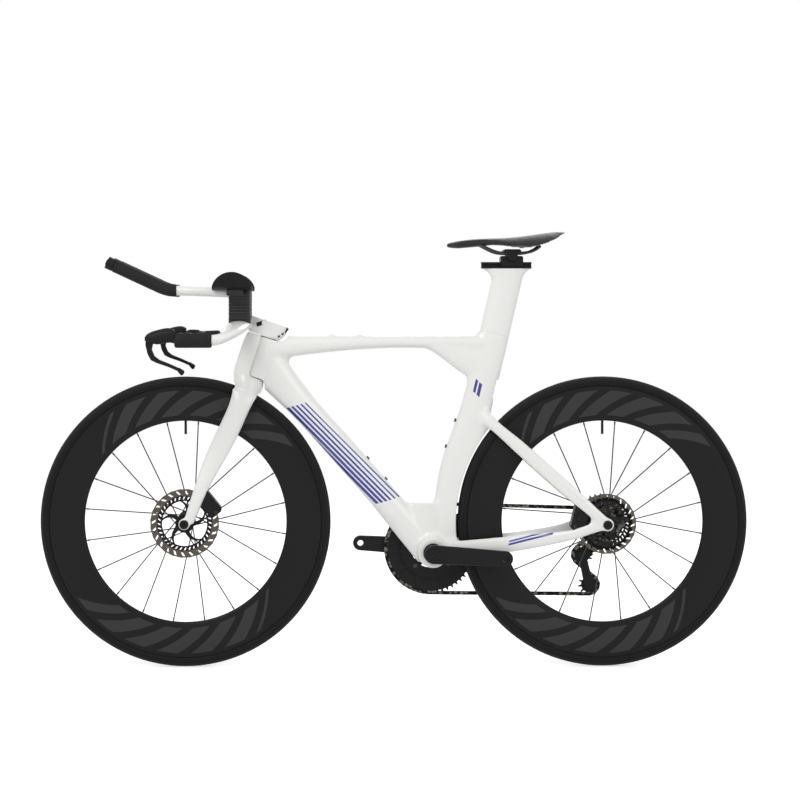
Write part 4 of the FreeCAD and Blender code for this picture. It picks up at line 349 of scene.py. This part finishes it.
dressed = set()
for material, names in wearing.items():
    for name in names.split():
        dress(nodes[name], material)
        dressed.add(name)
print("dressed", len(dressed), "left", sorted(set(nodes) - dressed))

# %% [markdown]
# A carbon frame leaves its mould in one skin, with a soft hollow wherever two
# tubes meet. The constructed tubes cross with a crease, so copies of them are
# joined, rebuilt in even faces, swollen, and shrunk back: the swelling closes
# each crease, and what comes back is a fillet. Edges that stand out keep their
# line. A bevel would be lighter, but it can't follow creases so curved.

# %% Moulded skins
def copy_of(node, name):
    bpy.ops.object.select_all(action="DESELECT")
    made = bpy.data.objects.new(name, nodes[node].data.copy())
    bpy.context.scene.collection.objects.link(made)
    bpy.context.view_layer.objects.active = made
    made.select_set(True)
    bpy.ops.object.mode_set(mode="EDIT")
    bpy.ops.mesh.select_all(action="SELECT")
    bpy.ops.mesh.remove_doubles(threshold=0.00002)
    bpy.ops.object.mode_set(mode="OBJECT")
    return made


def apply_all(made):
    bpy.context.view_layer.objects.active = made
    for modifier in list(made.modifiers):
        bpy.ops.object.modifier_apply(modifier=modifier.name)


def joined(pieces):
    bpy.ops.object.select_all(action="DESELECT")
    for piece in pieces:
        piece.select_set(True)
    bpy.context.view_layer.objects.active = pieces[0]
    if len(pieces) > 1:
        bpy.ops.object.join()
    return bpy.context.object


def relax(made, factor, times):
    softer = made.modifiers.new("relax", "SMOOTH")
    softer.factor = factor
    softer.iterations = times


def remesh(made, voxel, smooth):
    grid = made.modifiers.new("even_faces", "REMESH")
    grid.mode = "VOXEL"
    grid.voxel_size = voxel
    grid.use_smooth_shade = True
    if smooth:
        relax(made, 0.5, smooth)
    apply_all(made)


def swell(made, reach):
    grow = made.modifiers.new("swell", "DISPLACE")
    grow.mid_level = 0
    grow.strength = reach


def skin(names, title, body, reach, voxel, smooth, fine=0.7):
    made = joined([copy_of(node, title) for node in names])
    remesh(made, voxel * fine, 0)
    swell(made, reach)
    remesh(made, voxel, 6)
    swell(made, -reach)
    relax(made, 0.3, smooth)
    apply_all(made)
    bpy.ops.object.shade_smooth()
    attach(made, body)
    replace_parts(made, *names)
    print(title, len(made.data.polygons), "faces", [round(v * 1000, 1) for v in made.dimensions])
    return made


frame_skin = skin(["frame_main", "rear_stays"], "frame_skin", "frame", 0.008, 0.0029, 2, 0.6)
fork_skin = skin(["fork"], "fork_skin", "steering", 0.005, 0.002, 2)

# %% [markdown]
# Shrinking back costs the slim seatstays some of their depth. Their skin is
# moved out again, up above the middle line and down below it, and the move
# fades out towards the seat tube and the dropouts.

# %% Depth of the seatstays
stay_start = Vector((0.205, 0, 0.572))
stay_line = rear_axle - stay_start
stay_rise = Vector((-stay_line.z, 0, stay_line.x)).normalized()
stay_growth, stay_reach, stay_core, stay_inside = 0.003, 0.022, 0.008, 0.012
moved_points = 0
for vertex in frame_skin.data.vertices:
    share = (vertex.co - stay_start).dot(stay_line) / stay_line.length_squared
    height = (vertex.co - stay_start).dot(stay_rise)
    if 0.1 < share < 0.9 and abs(height) < stay_reach and abs(vertex.co.y) > stay_inside:
        fade = min((share - 0.1) / 0.15, (0.9 - share) / 0.2, 1)
        vertex.co += stay_rise * (stay_growth * fade * max(min(height / stay_core, 1), -1))
        moved_points += 1
print("seatstays fuller at", moved_points, "points")

# %% [markdown]
# Saddle, armrest pads and grips are soft, so their plain solids are only a
# start. A copy is rebuilt in even small faces, blown up a little like a stuffed
# cover by the cloth solver, held to a few millimetres, relaxed and smoothed. A
# sculpted shape could look as good, but the solver rounds all three alike. The
# saddle's wings are thin, so it moves least and has the smallest faces.

# %% Stuffed pieces
def stuffed(node, name, voxel, cap, shrink, body):
    made = copy_of(node, name)
    remesh(made, voxel, 2)
    start = [v.co - v.normal * shrink for v in made.data.vertices]
    for vertex, spot in zip(made.data.vertices, start):
        vertex.co = spot
    cloth = made.modifiers.new("cover", "CLOTH")
    cloth.settings.use_pressure = True
    cloth.settings.uniform_pressure_force = 4
    cloth.settings.effector_weights.gravity = 0
    for moment in range(1, 21):
        bpy.context.scene.frame_set(moment)
    apply_all(made)
    for vertex, spot in zip(made.data.vertices, start):
        moved = vertex.co - spot
        if moved.length > cap:
            vertex.co = spot + moved * (cap / moved.length)
    bpy.context.scene.frame_set(1)
    relax(made, 0.4, 4)
    rounder = made.modifiers.new("rounder", "SUBSURF")
    rounder.levels = rounder.render_levels = 1
    apply_all(made)
    bpy.ops.object.shade_smooth()
    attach(made, body)
    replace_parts(made, node)
    print(name, len(made.data.polygons), "faces", [round(v * 1000, 1) for v in made.dimensions])
    return made


def swollen(made, amount):
    moves = [vertex.normal * amount(vertex.co) for vertex in made.data.vertices]
    for vertex, move in zip(made.data.vertices, moves):
        vertex.co += move


saddle_top = stuffed("saddle", "saddle_top", 0.0022, 0.0022, 0.0003, "saddle")
arm_pads = stuffed("armrest_pads", "arm_pads", 0.004, 0.004, 0.003, "steering")
pad_low, pad_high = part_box("armrest_pads")
pad_middle = (pad_low + pad_high) / 2
drawn_height, drawn_share = 0.014, 0.2
for vertex in arm_pads.data.vertices:
    sink = min(max((pad_low.z + drawn_height - vertex.co.z) / drawn_height, 0), 1)
    vertex.co.x = pad_middle.x + (vertex.co.x - pad_middle.x) * (1 - drawn_share * sink * sink)
grips = stuffed("grip_tape", "grips", 0.003, 0.002, 0.0015, "steering")
bar_level, bar_growth, extension_growth = 0.8, 0.0035, 0.0022
swollen(grips, lambda spot: bar_growth if spot.z < bar_level else extension_growth)

# %% [markdown]
# The saddle's cover is a smooth sheet with a fine leather-like pebble. The pads
# are foam under a soft knit, and the grips are dull rubber tape. The recipe of
# the blacks suits them too: only the gloss and the size of the grain change.

# %% Covers
cover = speckled("saddle_cover", (0.016, 0.016, 0.017), (0.026, 0.026, 0.027), 0.5, 1300.0, 0.0006)
foam = speckled("pad_cloth", (0.014, 0.014, 0.015), (0.024, 0.024, 0.025), 0.85, 1800.0, 0.001)
tape = speckled("grip_tape_rubber", (0.012, 0.012, 0.012), (0.02, 0.02, 0.02), 0.7, 1500.0, 0.0008)
for made, material, slot in ((saddle_top, cover, "saddle_cover"), (arm_pads, foam, "pad_foam"),
                             (grips, tape, "grip_rubber")):
    dress(made, material)
print("covers", cover.name, foam.name, tape.name)

# %% [markdown]
# Small hardware starts from a primitive at its own size. Faces are picked by
# where they look, then inset or pushed in, and a narrow bevel rounds the edges
# so that they catch the light.

# %% Shaping small pieces
def fresh(kind, name, **sizes):
    bpy.ops.object.select_all(action="DESELECT")
    getattr(bpy.ops.mesh, "primitive_%s_add" % kind)(**sizes)
    made = bpy.context.object
    made.name = made.data.name = name
    return made


def choose(made, test):
    bpy.context.tool_settings.mesh_select_mode = (False, False, True)
    bpy.context.view_layer.objects.active = made
    bpy.ops.object.mode_set(mode="EDIT")
    bpy.ops.mesh.select_all(action="DESELECT")
    bpy.ops.object.mode_set(mode="OBJECT")
    for face in made.data.polygons:
        face.select = test(face)
    bpy.ops.object.mode_set(mode="EDIT")


def soften(made, width, steps=2):
    bpy.ops.object.mode_set(mode="OBJECT")
    edge = made.modifiers.new("edge", "BEVEL")
    edge.width = width
    edge.segments = steps
    edge.limit_method = "ANGLE"
    edge.angle_limit = math.radians(40)
    apply_all(made)
    bpy.ops.object.select_all(action="DESELECT")
    made.select_set(True)
    bpy.ops.object.shade_smooth_by_angle(angle=math.radians(35))
    return made


def socket_bolt(name, radius, height, sides=20):
    made = fresh("cylinder", name, vertices=sides, radius=radius, depth=height,
                 location=(0, 0, height / 2))
    bpy.ops.object.transform_apply(location=True)
    choose(made, lambda face: face.normal.z > 0.9)
    bpy.ops.mesh.inset(thickness=radius * 0.42)
    bpy.ops.mesh.extrude_region_move(TRANSFORM_OT_translate={"value": (0, 0, -height * 0.6)})
    return soften(made, radius * 0.12)


print("small pieces can be shaped")

# %% [markdown]
# What repeats is modelled once, lying along Z at the origin. Each copy gets its
# own mesh, is turned to face its way and keeps its place in the mesh. A ray
# from the left finds the surface that a piece is laid on.

# %% Placing small pieces
def put(made, spot, way):
    bpy.ops.object.select_all(action="DESELECT")
    made.select_set(True)
    bpy.context.view_layer.objects.active = made
    made.rotation_mode = "QUATERNION"
    made.rotation_quaternion = Vector(way).to_track_quat("Z", "X")
    made.location = spot
    bpy.ops.object.transform_apply(location=True, rotation=True, scale=True)
    return made


def worn(made, body, material):
    dress(made, material)
    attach(made, body)
    print(made.name, len(made.data.polygons), "faces")
    return made


def copies(model, name, places, body, material):
    made = []
    for spot, way in places:
        copy = bpy.data.objects.new(name, model.data.copy())
        bpy.context.scene.collection.objects.link(copy)
        made.append(put(copy, spot, way))
    whole = joined(made)
    bpy.data.objects.remove(model)
    return worn(whole, body, material)


to_left = (0, -1, 0)


def left_face(node, x, z):
    mesh = nodes[node].data
    faces = BVHTree.FromPolygons([v.co for v in mesh.vertices], [f.vertices[:] for f in mesh.polygons])
    return faces.ray_cast(Vector((x, -1, z)), Vector((0, 1, 0)))[0]


print("small pieces can be placed")

# %% [markdown]
# A bladed spoke is round where it enters the hub and the rim and flat between,
# with its broad side towards the viewer. It could be drawn as a curve, but a
# slim cylinder, cut across in four places and squeezed between them, has few
# faces. Each new blade takes its two ends from the straight bar that stood
# there, and a small nipple holds it in the rim.

# %% Spokes
def bars_of(node):
    made = copy_of(node, "bars")
    bpy.ops.object.mode_set(mode="EDIT")
    bpy.ops.mesh.separate(type="LOOSE")
    bpy.ops.object.mode_set(mode="OBJECT")
    axle = middle_of(node)
    ends = []
    for piece in list(bpy.context.selected_objects):
        spots = sorted((v.co.copy() for v in piece.data.vertices),
                       key=lambda spot: (spot.x - axle.x) ** 2 + (spot.z - axle.z) ** 2)
        half = len(spots) // 2
        ends.append((sum(spots[:half], Vector()) / half, sum(spots[-half:], Vector()) / half))
        bpy.data.objects.remove(piece)
    return ends


spoke_radius, nipple_length = 0.0013, 0.008


def blade(name, length):
    made = fresh("cylinder", name, vertices=10, radius=spoke_radius, depth=length)
    bpy.ops.object.mode_set(mode="EDIT")
    for share in (-0.47, -0.42, 0.42, 0.47):
        bpy.ops.mesh.select_all(action="SELECT")
        bpy.ops.mesh.bisect(plane_co=(0, 0, length * share), plane_no=(0, 0, 1))
    bpy.ops.object.mode_set(mode="OBJECT")
    for vertex in made.data.vertices:
        flat = abs(vertex.co.z) < length * 0.43
        vertex.co.y *= 0.5 if flat else 0.8
        vertex.co.x *= 1.1 if flat else 0.8
    bpy.ops.object.shade_smooth_by_angle(angle=math.radians(60))
    return made


def spokes(node, name, body):
    ends = bars_of(node)
    made = []
    for start, end in ends:
        way = end - start
        copy = blade(name, way.length)
        across = way.cross(Vector((0, 1, 0))).normalized()
        side = across.cross(way).normalized()
        for vertex in copy.data.vertices:
            x, y, z = vertex.co
            vertex.co = (start + end) / 2 + across * x + side * y + way.normalized() * z
        made.append(copy)
    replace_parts(worn(joined(made), body, dark_steel), node)
    nipple = fresh("cone", name + "_nipple", vertices=10, radius1=0.0021, radius2=0.0015,
                   depth=nipple_length)
    choose(nipple, lambda face: face.normal.z > 0.9)
    bpy.ops.mesh.inset(thickness=0.0003)
    soften(nipple, 0.0002, 1)
    copies(nipple, name + "_nipples", [(end - (end - start).normalized() * nipple_length, start - end)
                                       for start, end in ends], body, dark_steel)
    return ends


front_ends = spokes("front_spokes", "front_blades", "front_wheel")
rear_ends = spokes("rear_spokes", "rear_blades", "rear_wheel")
print("spokes", len(front_ends), len(rear_ends))

# %% [markdown]
# A rotor is pressed from steel: a track with slanted windows and a waved rim,
# riveted to a black carrier with cooling fins and five curved arms. One sector
# of each is laid out as a small grid, its middle face is taken out for the
# window, and the sector is spun round the axle. Windows cut through a finished
# disc would leave thin, ragged faces.

# %% Rotor sectors
rotor_thickness = 0.0018


def sector_ring(name, axle, plane, inner, outer, count, window, slant, wave):
    made = fresh("grid", name, x_subdivisions=3, y_subdivisions=3, size=1)
    left, right, low, high = window
    across = (0, left, right, 1)
    up = (0, low, high, 1)
    for vertex in made.data.vertices:
        share = across[round((vertex.co.x + 0.5) * 3)]
        rise = up[round((vertex.co.y + 0.5) * 3)]
        angle = (share + slant * rise) * math.tau / count
        radius = inner + (outer - inner) * rise
        if rise == 1 and share in (left, right):
            radius -= wave
        vertex.co = (axle.x + radius * math.cos(angle), plane, axle.z + radius * math.sin(angle))
    choose(made, lambda face: face.index == 4)
    bpy.ops.mesh.delete(type="FACE")
    return spun(made, axle, plane, count)


def spun(made, axle, plane, count):
    bpy.ops.object.mode_set(mode="EDIT")
    bpy.ops.mesh.select_all(action="SELECT")
    bpy.ops.mesh.spin(steps=count, dupli=True, angle=math.tau, center=(axle.x, plane, axle.z),
                      axis=(0, 1, 0))
    bpy.ops.mesh.select_all(action="SELECT")
    bpy.ops.mesh.remove_doubles(threshold=0.00003)
    bpy.ops.mesh.normals_make_consistent(inside=False)
    bpy.ops.object.mode_set(mode="OBJECT")
    sheet = made.modifiers.new("sheet", "SOLIDIFY")
    sheet.thickness = rotor_thickness
    sheet.offset = 0
    apply_all(made)
    return soften(made, 0.0002, 1)


print("rotor sheet", rotor_thickness)

# %% [markdown]
# Each rotor is then put together from four pieces: the track, the ring of fins
# just inside it, five arms that curve to the hub, and the lock ring. The window
# shares are left, right, low and high, as parts of one sector.

# %% Rotors
track_depth, fins_inner, fins_outer = 0.0165, 0.028, 0.0163
track_window, fins_window = (0.36, 0.62, 0.24, 0.74), (0.36, 0.66, 0.34, 0.84)
arm_start, arm_end, lock_radius, lock_depth = 0.018, 0.026, 0.0215, 0.0034


def rotor(node, title, axle, body, steel):
    low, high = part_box(node)
    plane = (low.y + high.y) / 2
    radius = (high.x - low.x) / 2
    track = sector_ring(title + "_track", axle, plane, radius - track_depth, radius, 24,
                        track_window, 0.6, 0.001)
    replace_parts(worn(track, body, steel), node)
    fins = sector_ring(title + "_fins", axle, plane, radius - fins_inner, radius - fins_outer, 36,
                       fins_window, -0.6, 0.0)
    worn(fins, body, alloy)
    arm = fresh("grid", title + "_arms", x_subdivisions=2, y_subdivisions=6, size=1)
    start, end = arm_start, radius - arm_end
    for vertex in arm.data.vertices:
        rise = vertex.co.y + 0.5
        reach = start + (end - start) * rise
        angle = 0.5 * rise * rise + vertex.co.x * (0.011 - 0.005 * rise) / reach
        vertex.co = (axle.x + reach * math.cos(angle), plane, axle.z + reach * math.sin(angle))
    worn(spun(arm, axle, plane, 5), body, alloy)
    lock = fresh("cylinder", title + "_lock", vertices=40, radius=lock_radius, depth=lock_depth)
    choose(lock, lambda face: abs(face.normal.z) > 0.9)
    bpy.ops.mesh.inset(thickness=0.004)
    bpy.ops.mesh.extrude_region_shrink_fatten(TRANSFORM_OT_shrink_fatten={"value": -0.0006})
    bpy.ops.mesh.inset(thickness=0.005)
    bpy.ops.mesh.delete(type="FACE")
    soften(lock, 0.0003, 1)
    put(lock, (axle.x, plane, axle.z), to_left)
    worn(lock, body, plastic)


rotor("front_rotor", "front_disc", front_axle, "front_wheel", front_rotor_steel)
rotor("rear_rotor", "rear_disc", rear_axle, "rear_wheel", rear_rotor_steel)

# %% [markdown]
# The frame wears a plain pattern in dark blue: bars that run along the down
# tube and grow thinner towards its upper edge, two lines on each chainstay and
# two short dashes on the seat tube. Strips of mesh would stand proud of the
# paint, so the bars are painted by place, in the frame's own metres, and both
# sides match. Only faces that look outwards are painted.

# %% Frame pattern
def bars_along(tree, where, start, way, length, width, count, lean, thin):
    rise = Vector((-way.z, 0, way.x))
    moved = vector_of(tree, "SUBTRACT", where, start)
    along = vector_of(tree, "DOT_PRODUCT", moved, tuple(way))
    across = vector_of(tree, "DOT_PRODUCT", moved, tuple(rise))
    slid = sum_of(tree, "SUBTRACT", along, sum_of(tree, "MULTIPLY", across, lean))
    share = sum_of(tree, "DIVIDE", across, width)
    step = sum_of(tree, "FRACT", sum_of(tree, "MULTIPLY", share, float(count)))
    inked = sum_of(tree, "LESS_THAN", step, spread(tree, share, 0.78, thin))
    inside = sum_of(tree, "COMPARE", slid, length / 2, length / 2)
    band = sum_of(tree, "COMPARE", share, 0.5, 0.5)
    return sum_of(tree, "MULTIPLY", inked, sum_of(tree, "MULTIPLY", inside, band))


# Each group: its start and way, then length, width, number of bars, lean, thinnest bar.
bar_groups = {
    "down tube": ((-0.262, 0, 0.6), (0.7055, 0, -0.7092), 0.31, 0.058, 6, 0.55, 0.25),
    "chainstays": ((0.262, 0, 0.286), (0.965, 0, 0.262), 0.105, 0.014, 2, 0.5, 0.4),
    "seat tube": ((0.197, 0, 0.628), (0.23, 0, 0.97), 0.03, 0.022, 2, 0.6, 0.5),
}
dark_blue = (0.024, 0.03, 0.27)
livery, tree, shader, tint = white_paint("frame_livery")
where = place(tree)
inked = 0.0
for start, way, *sizes in bar_groups.values():
    inked = sum_of(tree, "MAXIMUM", inked, bars_along(tree, where, start, Vector(way).normalized(), *sizes))
facing = parts_of(tree, add(tree, "ShaderNodeNewGeometry").outputs["Normal"])[1]
outer = sum_of(tree, "GREATER_THAN", sum_of(tree, "MULTIPLY", facing, parts_of(tree, where)[1]), 0.0)
inked = sum_of(tree, "MULTIPLY", inked, outer)
tree.links.new(mixed(tree, inked, tint, dark_blue), shader.inputs["Base Color"])
dress(frame_skin, livery)
print("pattern on", frame_skin.name, "at", ", ".join(bar_groups))

# %% [markdown]
# The front changer's cage ends just behind the seat tube, and its edges are
# rounded. A copy of the constructed cage is cut with a plane and closed again,
# which keeps its place over the chain better than a new shape would.

# %% Front changer
def trimmed(node, title, body, front, width):
    made = copy_of(node, title)
    bpy.ops.object.mode_set(mode="EDIT")
    bpy.ops.mesh.select_all(action="SELECT")
    bpy.ops.mesh.bisect(plane_co=(front, 0, 0), plane_no=(1, 0, 0), clear_inner=True, use_fill=True)
    soften(made, width)
    worn(made, body, plastic)
    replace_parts(made, node)
    return made


changer_front, changer_edge = 0.103, 0.0004
trimmed("front_derailleur_cage", "changer_cage", "front_changer", changer_front, changer_edge)

# %% [markdown]
# The large ring is a closed forging, so a thin black web spans its spider.
# The crank's boss is closed by a cap with a round socket. Both start as
# cylinders whose ends are inset. They turn with the crank, so they ride on its
# body.

# %% Crank hardware
ring_low, ring_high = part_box("chainring_outer")
arm_low, arm_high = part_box("crank_arm_left")
web_radius, web_width, web_depth = 0.096, 0.03, 0.0012
web = fresh("cylinder", "ring_web", vertices=72, radius=web_radius, depth=web_depth)
choose(web, lambda face: abs(face.normal.z) > 0.9)
bpy.ops.mesh.inset(thickness=web_width)
bpy.ops.mesh.bridge_edge_loops()
soften(web, 0.0002, 1)
put(web, (crank_axle.x, (ring_low.y + ring_high.y) / 2, crank_axle.z), to_left)
worn(web, "crankset", alloy)
cap = socket_bolt("crank_cap", 0.0135, 0.004, 32)
cap_spot = Vector((crank_axle.x, arm_low.y + 0.0005, crank_axle.z))
copies(cap, "crank_caps", [(cap_spot, to_left)], "crankset", plastic)

# %% [markdown]
# Each caliper is a rounded casting: the swelled skin again, with a small reach.
# A round piston cap and two bolts sit on its outer face. Their places could be
# typed in, but a ray finds the face and stays right if the caliper changes. Of
# four corners, the two that stand furthest out take the bolts.

# %% Calipers
corner_shares = ((0.22, 0.2), (0.22, 0.8), (0.78, 0.2), (0.78, 0.8))


def caliper(node, title, body):
    casting = skin([node], title, body, 0.0015, 0.0012, 3)
    dress(casting, alloy)
    low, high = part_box(node)
    middle = middle_of(node)
    cap = socket_bolt(title + "_cap", 0.0095, 0.0025, 28)
    copies(cap, title + "_caps", [(left_face(node, middle.x, middle.z), to_left)], body, plastic)
    corners = [left_face(node, low.x + (high.x - low.x) * along, low.z + (high.z - low.z) * up)
               for along, up in corner_shares]
    nearest = sorted((spot for spot in corners if spot), key=lambda spot: spot.y)[:2]
    copies(socket_bolt(title + "_bolt", 0.0036, 0.0026), title + "_bolts",
           [(spot, to_left) for spot in nearest], body, dark_steel)


caliper("front_caliper", "front_casting", "steering")
caliper("rear_caliper", "rear_casting", "frame")

# %% [markdown]
# Bars change colour where the grips cover them: white outside, black under the
# grips, so no pale ring shows at a grip's end. The riser is a stack of thin
# spacers. Modelled one by one they would be many faces for little, so the seams
# are fine bands in the finish: a shallow groove in the bump, and a lighter
# colour that is a painted highlight on the spacers' edges.

# %% Bar and riser finishes
def bar_finish(name, start):
    material, tree, shader, tint = white_paint(name)
    under = sum_of(tree, "LESS_THAN", parts_of(tree, place(tree))[0], start)
    tree.links.new(mixed(tree, under, tint, (0.006, 0.006, 0.006)), shader.inputs["Base Color"])
    return material


def banded(name, step):
    material, tree, shader = finish(name, (0.006, 0.006, 0.006), 0.4)
    where = place(tree)
    layer = sum_of(tree, "DIVIDE", parts_of(tree, where)[2], step)
    seam_groove_and_highlight = sum_of(tree, "LESS_THAN", sum_of(tree, "FRACT", layer), 0.14)
    base = mixed(tree, noise(tree, where, 60.0), (0.004, 0.004, 0.0045), (0.009, 0.009, 0.0095))
    # The lighter seam colour is a painted highlight on the spacers' edges; the bump makes the groove.
    tree.links.new(mixed(tree, seam_groove_and_highlight, base, (0.045, 0.045, 0.045)), shader.inputs["Base Color"])
    shader.inputs["Specular IOR Level"].default_value = 0.3
    bump(tree, shader, seam_groove_and_highlight, -0.5, 0.0005)
    return material


extension_grip_end, bar_grip_end = -0.52, -0.428
dress(nodes["extensions"], bar_finish("extension_paint", extension_grip_end))
dress(nodes["base_bar"], bar_finish("base_bar_paint", bar_grip_end))
riser_front, riser_edge, spacer_height = -0.386, 0.0006, 0.0066
stack = trimmed("risers", "riser_stack", "steering", riser_front, riser_edge)
dress(stack, banded("riser_black", spacer_height))
print("bars dressed,", stack.name, len(stack.data.polygons), "faces")

# %% [markdown]
# Brake levers are forged blades with round edges and a thicker tip. A bevel
# would only break the edges, so a copy of the plain blade is rebuilt in small
# faces, swollen a little, more at the tip, and smoothed.

# %% Brake levers
tip_length, blade_growth, tip_growth = 0.012, 0.0014, 0.0022
for side in ("left", "right"):
    node = "brake_lever_" + side
    lever = copy_of(node, "lever_blade_" + side)
    remesh(lever, 0.001, 2)
    tip_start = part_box(node)[1].x - tip_length
    swollen(lever, lambda spot: blade_growth if spot.x < tip_start else tip_growth)
    relax(lever, 0.5, 6)
    apply_all(lever)
    bpy.ops.object.shade_smooth()
    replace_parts(worn(lever, side + "_lever", alloy), node)

# %% [markdown]
# The stem has a port for the cables near its head, an open notch at its tail
# and two small bolts. Holes through the stem would need its walls, so each
# opening is a shallow sunk black plate, painted shade for the inside of the
# hole, laid on the surface where a ray from the left meets it.

# %% Stem ports
port_depth, port_recess = 0.0016, 0.0006


def shaded_opening(name, long, tall, lean, x, z):
    spot = left_face("stem", x, z)
    if spot is None:
        print(name, "no surface")
        return None
    made = fresh("cube", name, size=1)
    made.scale = (long, port_depth, tall)
    bpy.ops.object.transform_apply(scale=True)
    choose(made, lambda face: face.normal.y < -0.9)
    bpy.ops.mesh.inset(thickness=tall * 0.12)
    bpy.ops.mesh.extrude_region_move(TRANSFORM_OT_translate={"value": (0, port_recess, 0)})
    soften(made, tall * 0.2, 3)
    made.rotation_euler = (0, lean, 0)
    made.location = spot
    bpy.ops.object.transform_apply(location=True, rotation=True)
    return worn(made, "steering", plastic)


# Each black plate is painted shade, standing in for the dark inside of an opening.
shaded_opening("cable_port_shade", 0.024, 0.009, -0.35, -0.3088, 0.8006)
shaded_opening("tail_notch_shade", 0.012, 0.008, -0.9, -0.2525, 0.784)
bolt_spots = [left_face("stem", x, z) for x, z in ((-0.2601, 0.775), (-0.2685, 0.7695))]
copies(socket_bolt("stem_bolt", 0.0026, 0.002), "stem_bolts",
       [(spot, to_left) for spot in bolt_spots if spot], "steering", dark_steel)

# %% [markdown]
# The floor is a plain white sheet. Seen by the camera, or mirrored in something,
# it glows up to the white of the background, and the shadow of the bicycle
# still darkens it, because half of its brightness comes from the lamps.

# %% Floor
def seen_directly(tree):
    rays = add(tree, "ShaderNodeLightPath").outputs
    seen = sum_of(tree, "MAXIMUM", rays["Is Camera Ray"], rays["Is Glossy Ray"])
    return sum_of(tree, "MAXIMUM", seen, rays["Is Transmission Ray"])


bpy.ops.object.select_all(action="DESELECT")
bpy.ops.mesh.primitive_plane_add(size=60, location=(0, 0, 0))
floor = bpy.context.object
floor.name = "floor"
bpy.ops.object.mode_set(mode="EDIT")
bpy.ops.mesh.subdivide(number_cuts=3)
bpy.ops.object.mode_set(mode="OBJECT")
floor_finish = bpy.data.materials.new("floor_paper")
floor_finish.use_nodes = True
tree = floor_finish.node_tree
tree.nodes.clear()
matt = add(tree, "ShaderNodeBsdfDiffuse", None, Color=(0.8, 0.8, 0.8, 1))
glow = add(tree, "ShaderNodeEmission", None, Color=(1, 1, 1, 1))
tree.links.new(sum_of(tree, "MULTIPLY", seen_directly(tree), 0.5), glow.inputs["Strength"])
both = add(tree, "ShaderNodeAddShader", None, i0=matt.outputs[0], i1=glow.outputs[0])
add(tree, "ShaderNodeOutputMaterial", None, Surface=both.outputs[0])
floor.data.materials.append(floor_finish)
print("floor", floor.name)

# %% [markdown]
# The bicycle stands in a bright room, so the sky is an even white that is a
# little weaker as light than it looks. Three big soft lamps, in front, at the
# side and behind, give the round tubes their shading.

# %% Sky and lamps
world = bpy.data.worlds.new("room")
bpy.context.scene.world = world
world.use_nodes = True
tree = world.node_tree
sky = tree.nodes["Background"]
sky.inputs["Color"].default_value = (1, 1, 1, 1)
tree.links.new(spread(tree, seen_directly(tree), 0.62, 1.0), sky.inputs["Strength"])


def lamp(name, spot, aim, size, power):
    bpy.ops.object.select_all(action="DESELECT")
    bpy.ops.object.light_add(type="AREA", location=spot)
    made = bpy.context.object
    made.name = name
    made.data.shape = "DISK"
    made.data.size = size
    made.data.energy = power
    made.rotation_euler = (Vector(aim) - Vector(spot)).to_track_quat("-Z", "Y").to_euler()
    return made


lamps = [lamp("key", (-1.6, -2.6, 3.2), (0, 0, 0.5), 2.2, 60),
         lamp("fill", (2.2, -2.8, 1.8), (0, 0, 0.5), 2.0, 18),
         lamp("back", (0.6, 2.8, 2.6), (0, 0, 0.6), 2.0, 40)]
bpy.context.scene.view_settings.view_transform = "Standard"
print("lamps", [made.name for made in lamps])
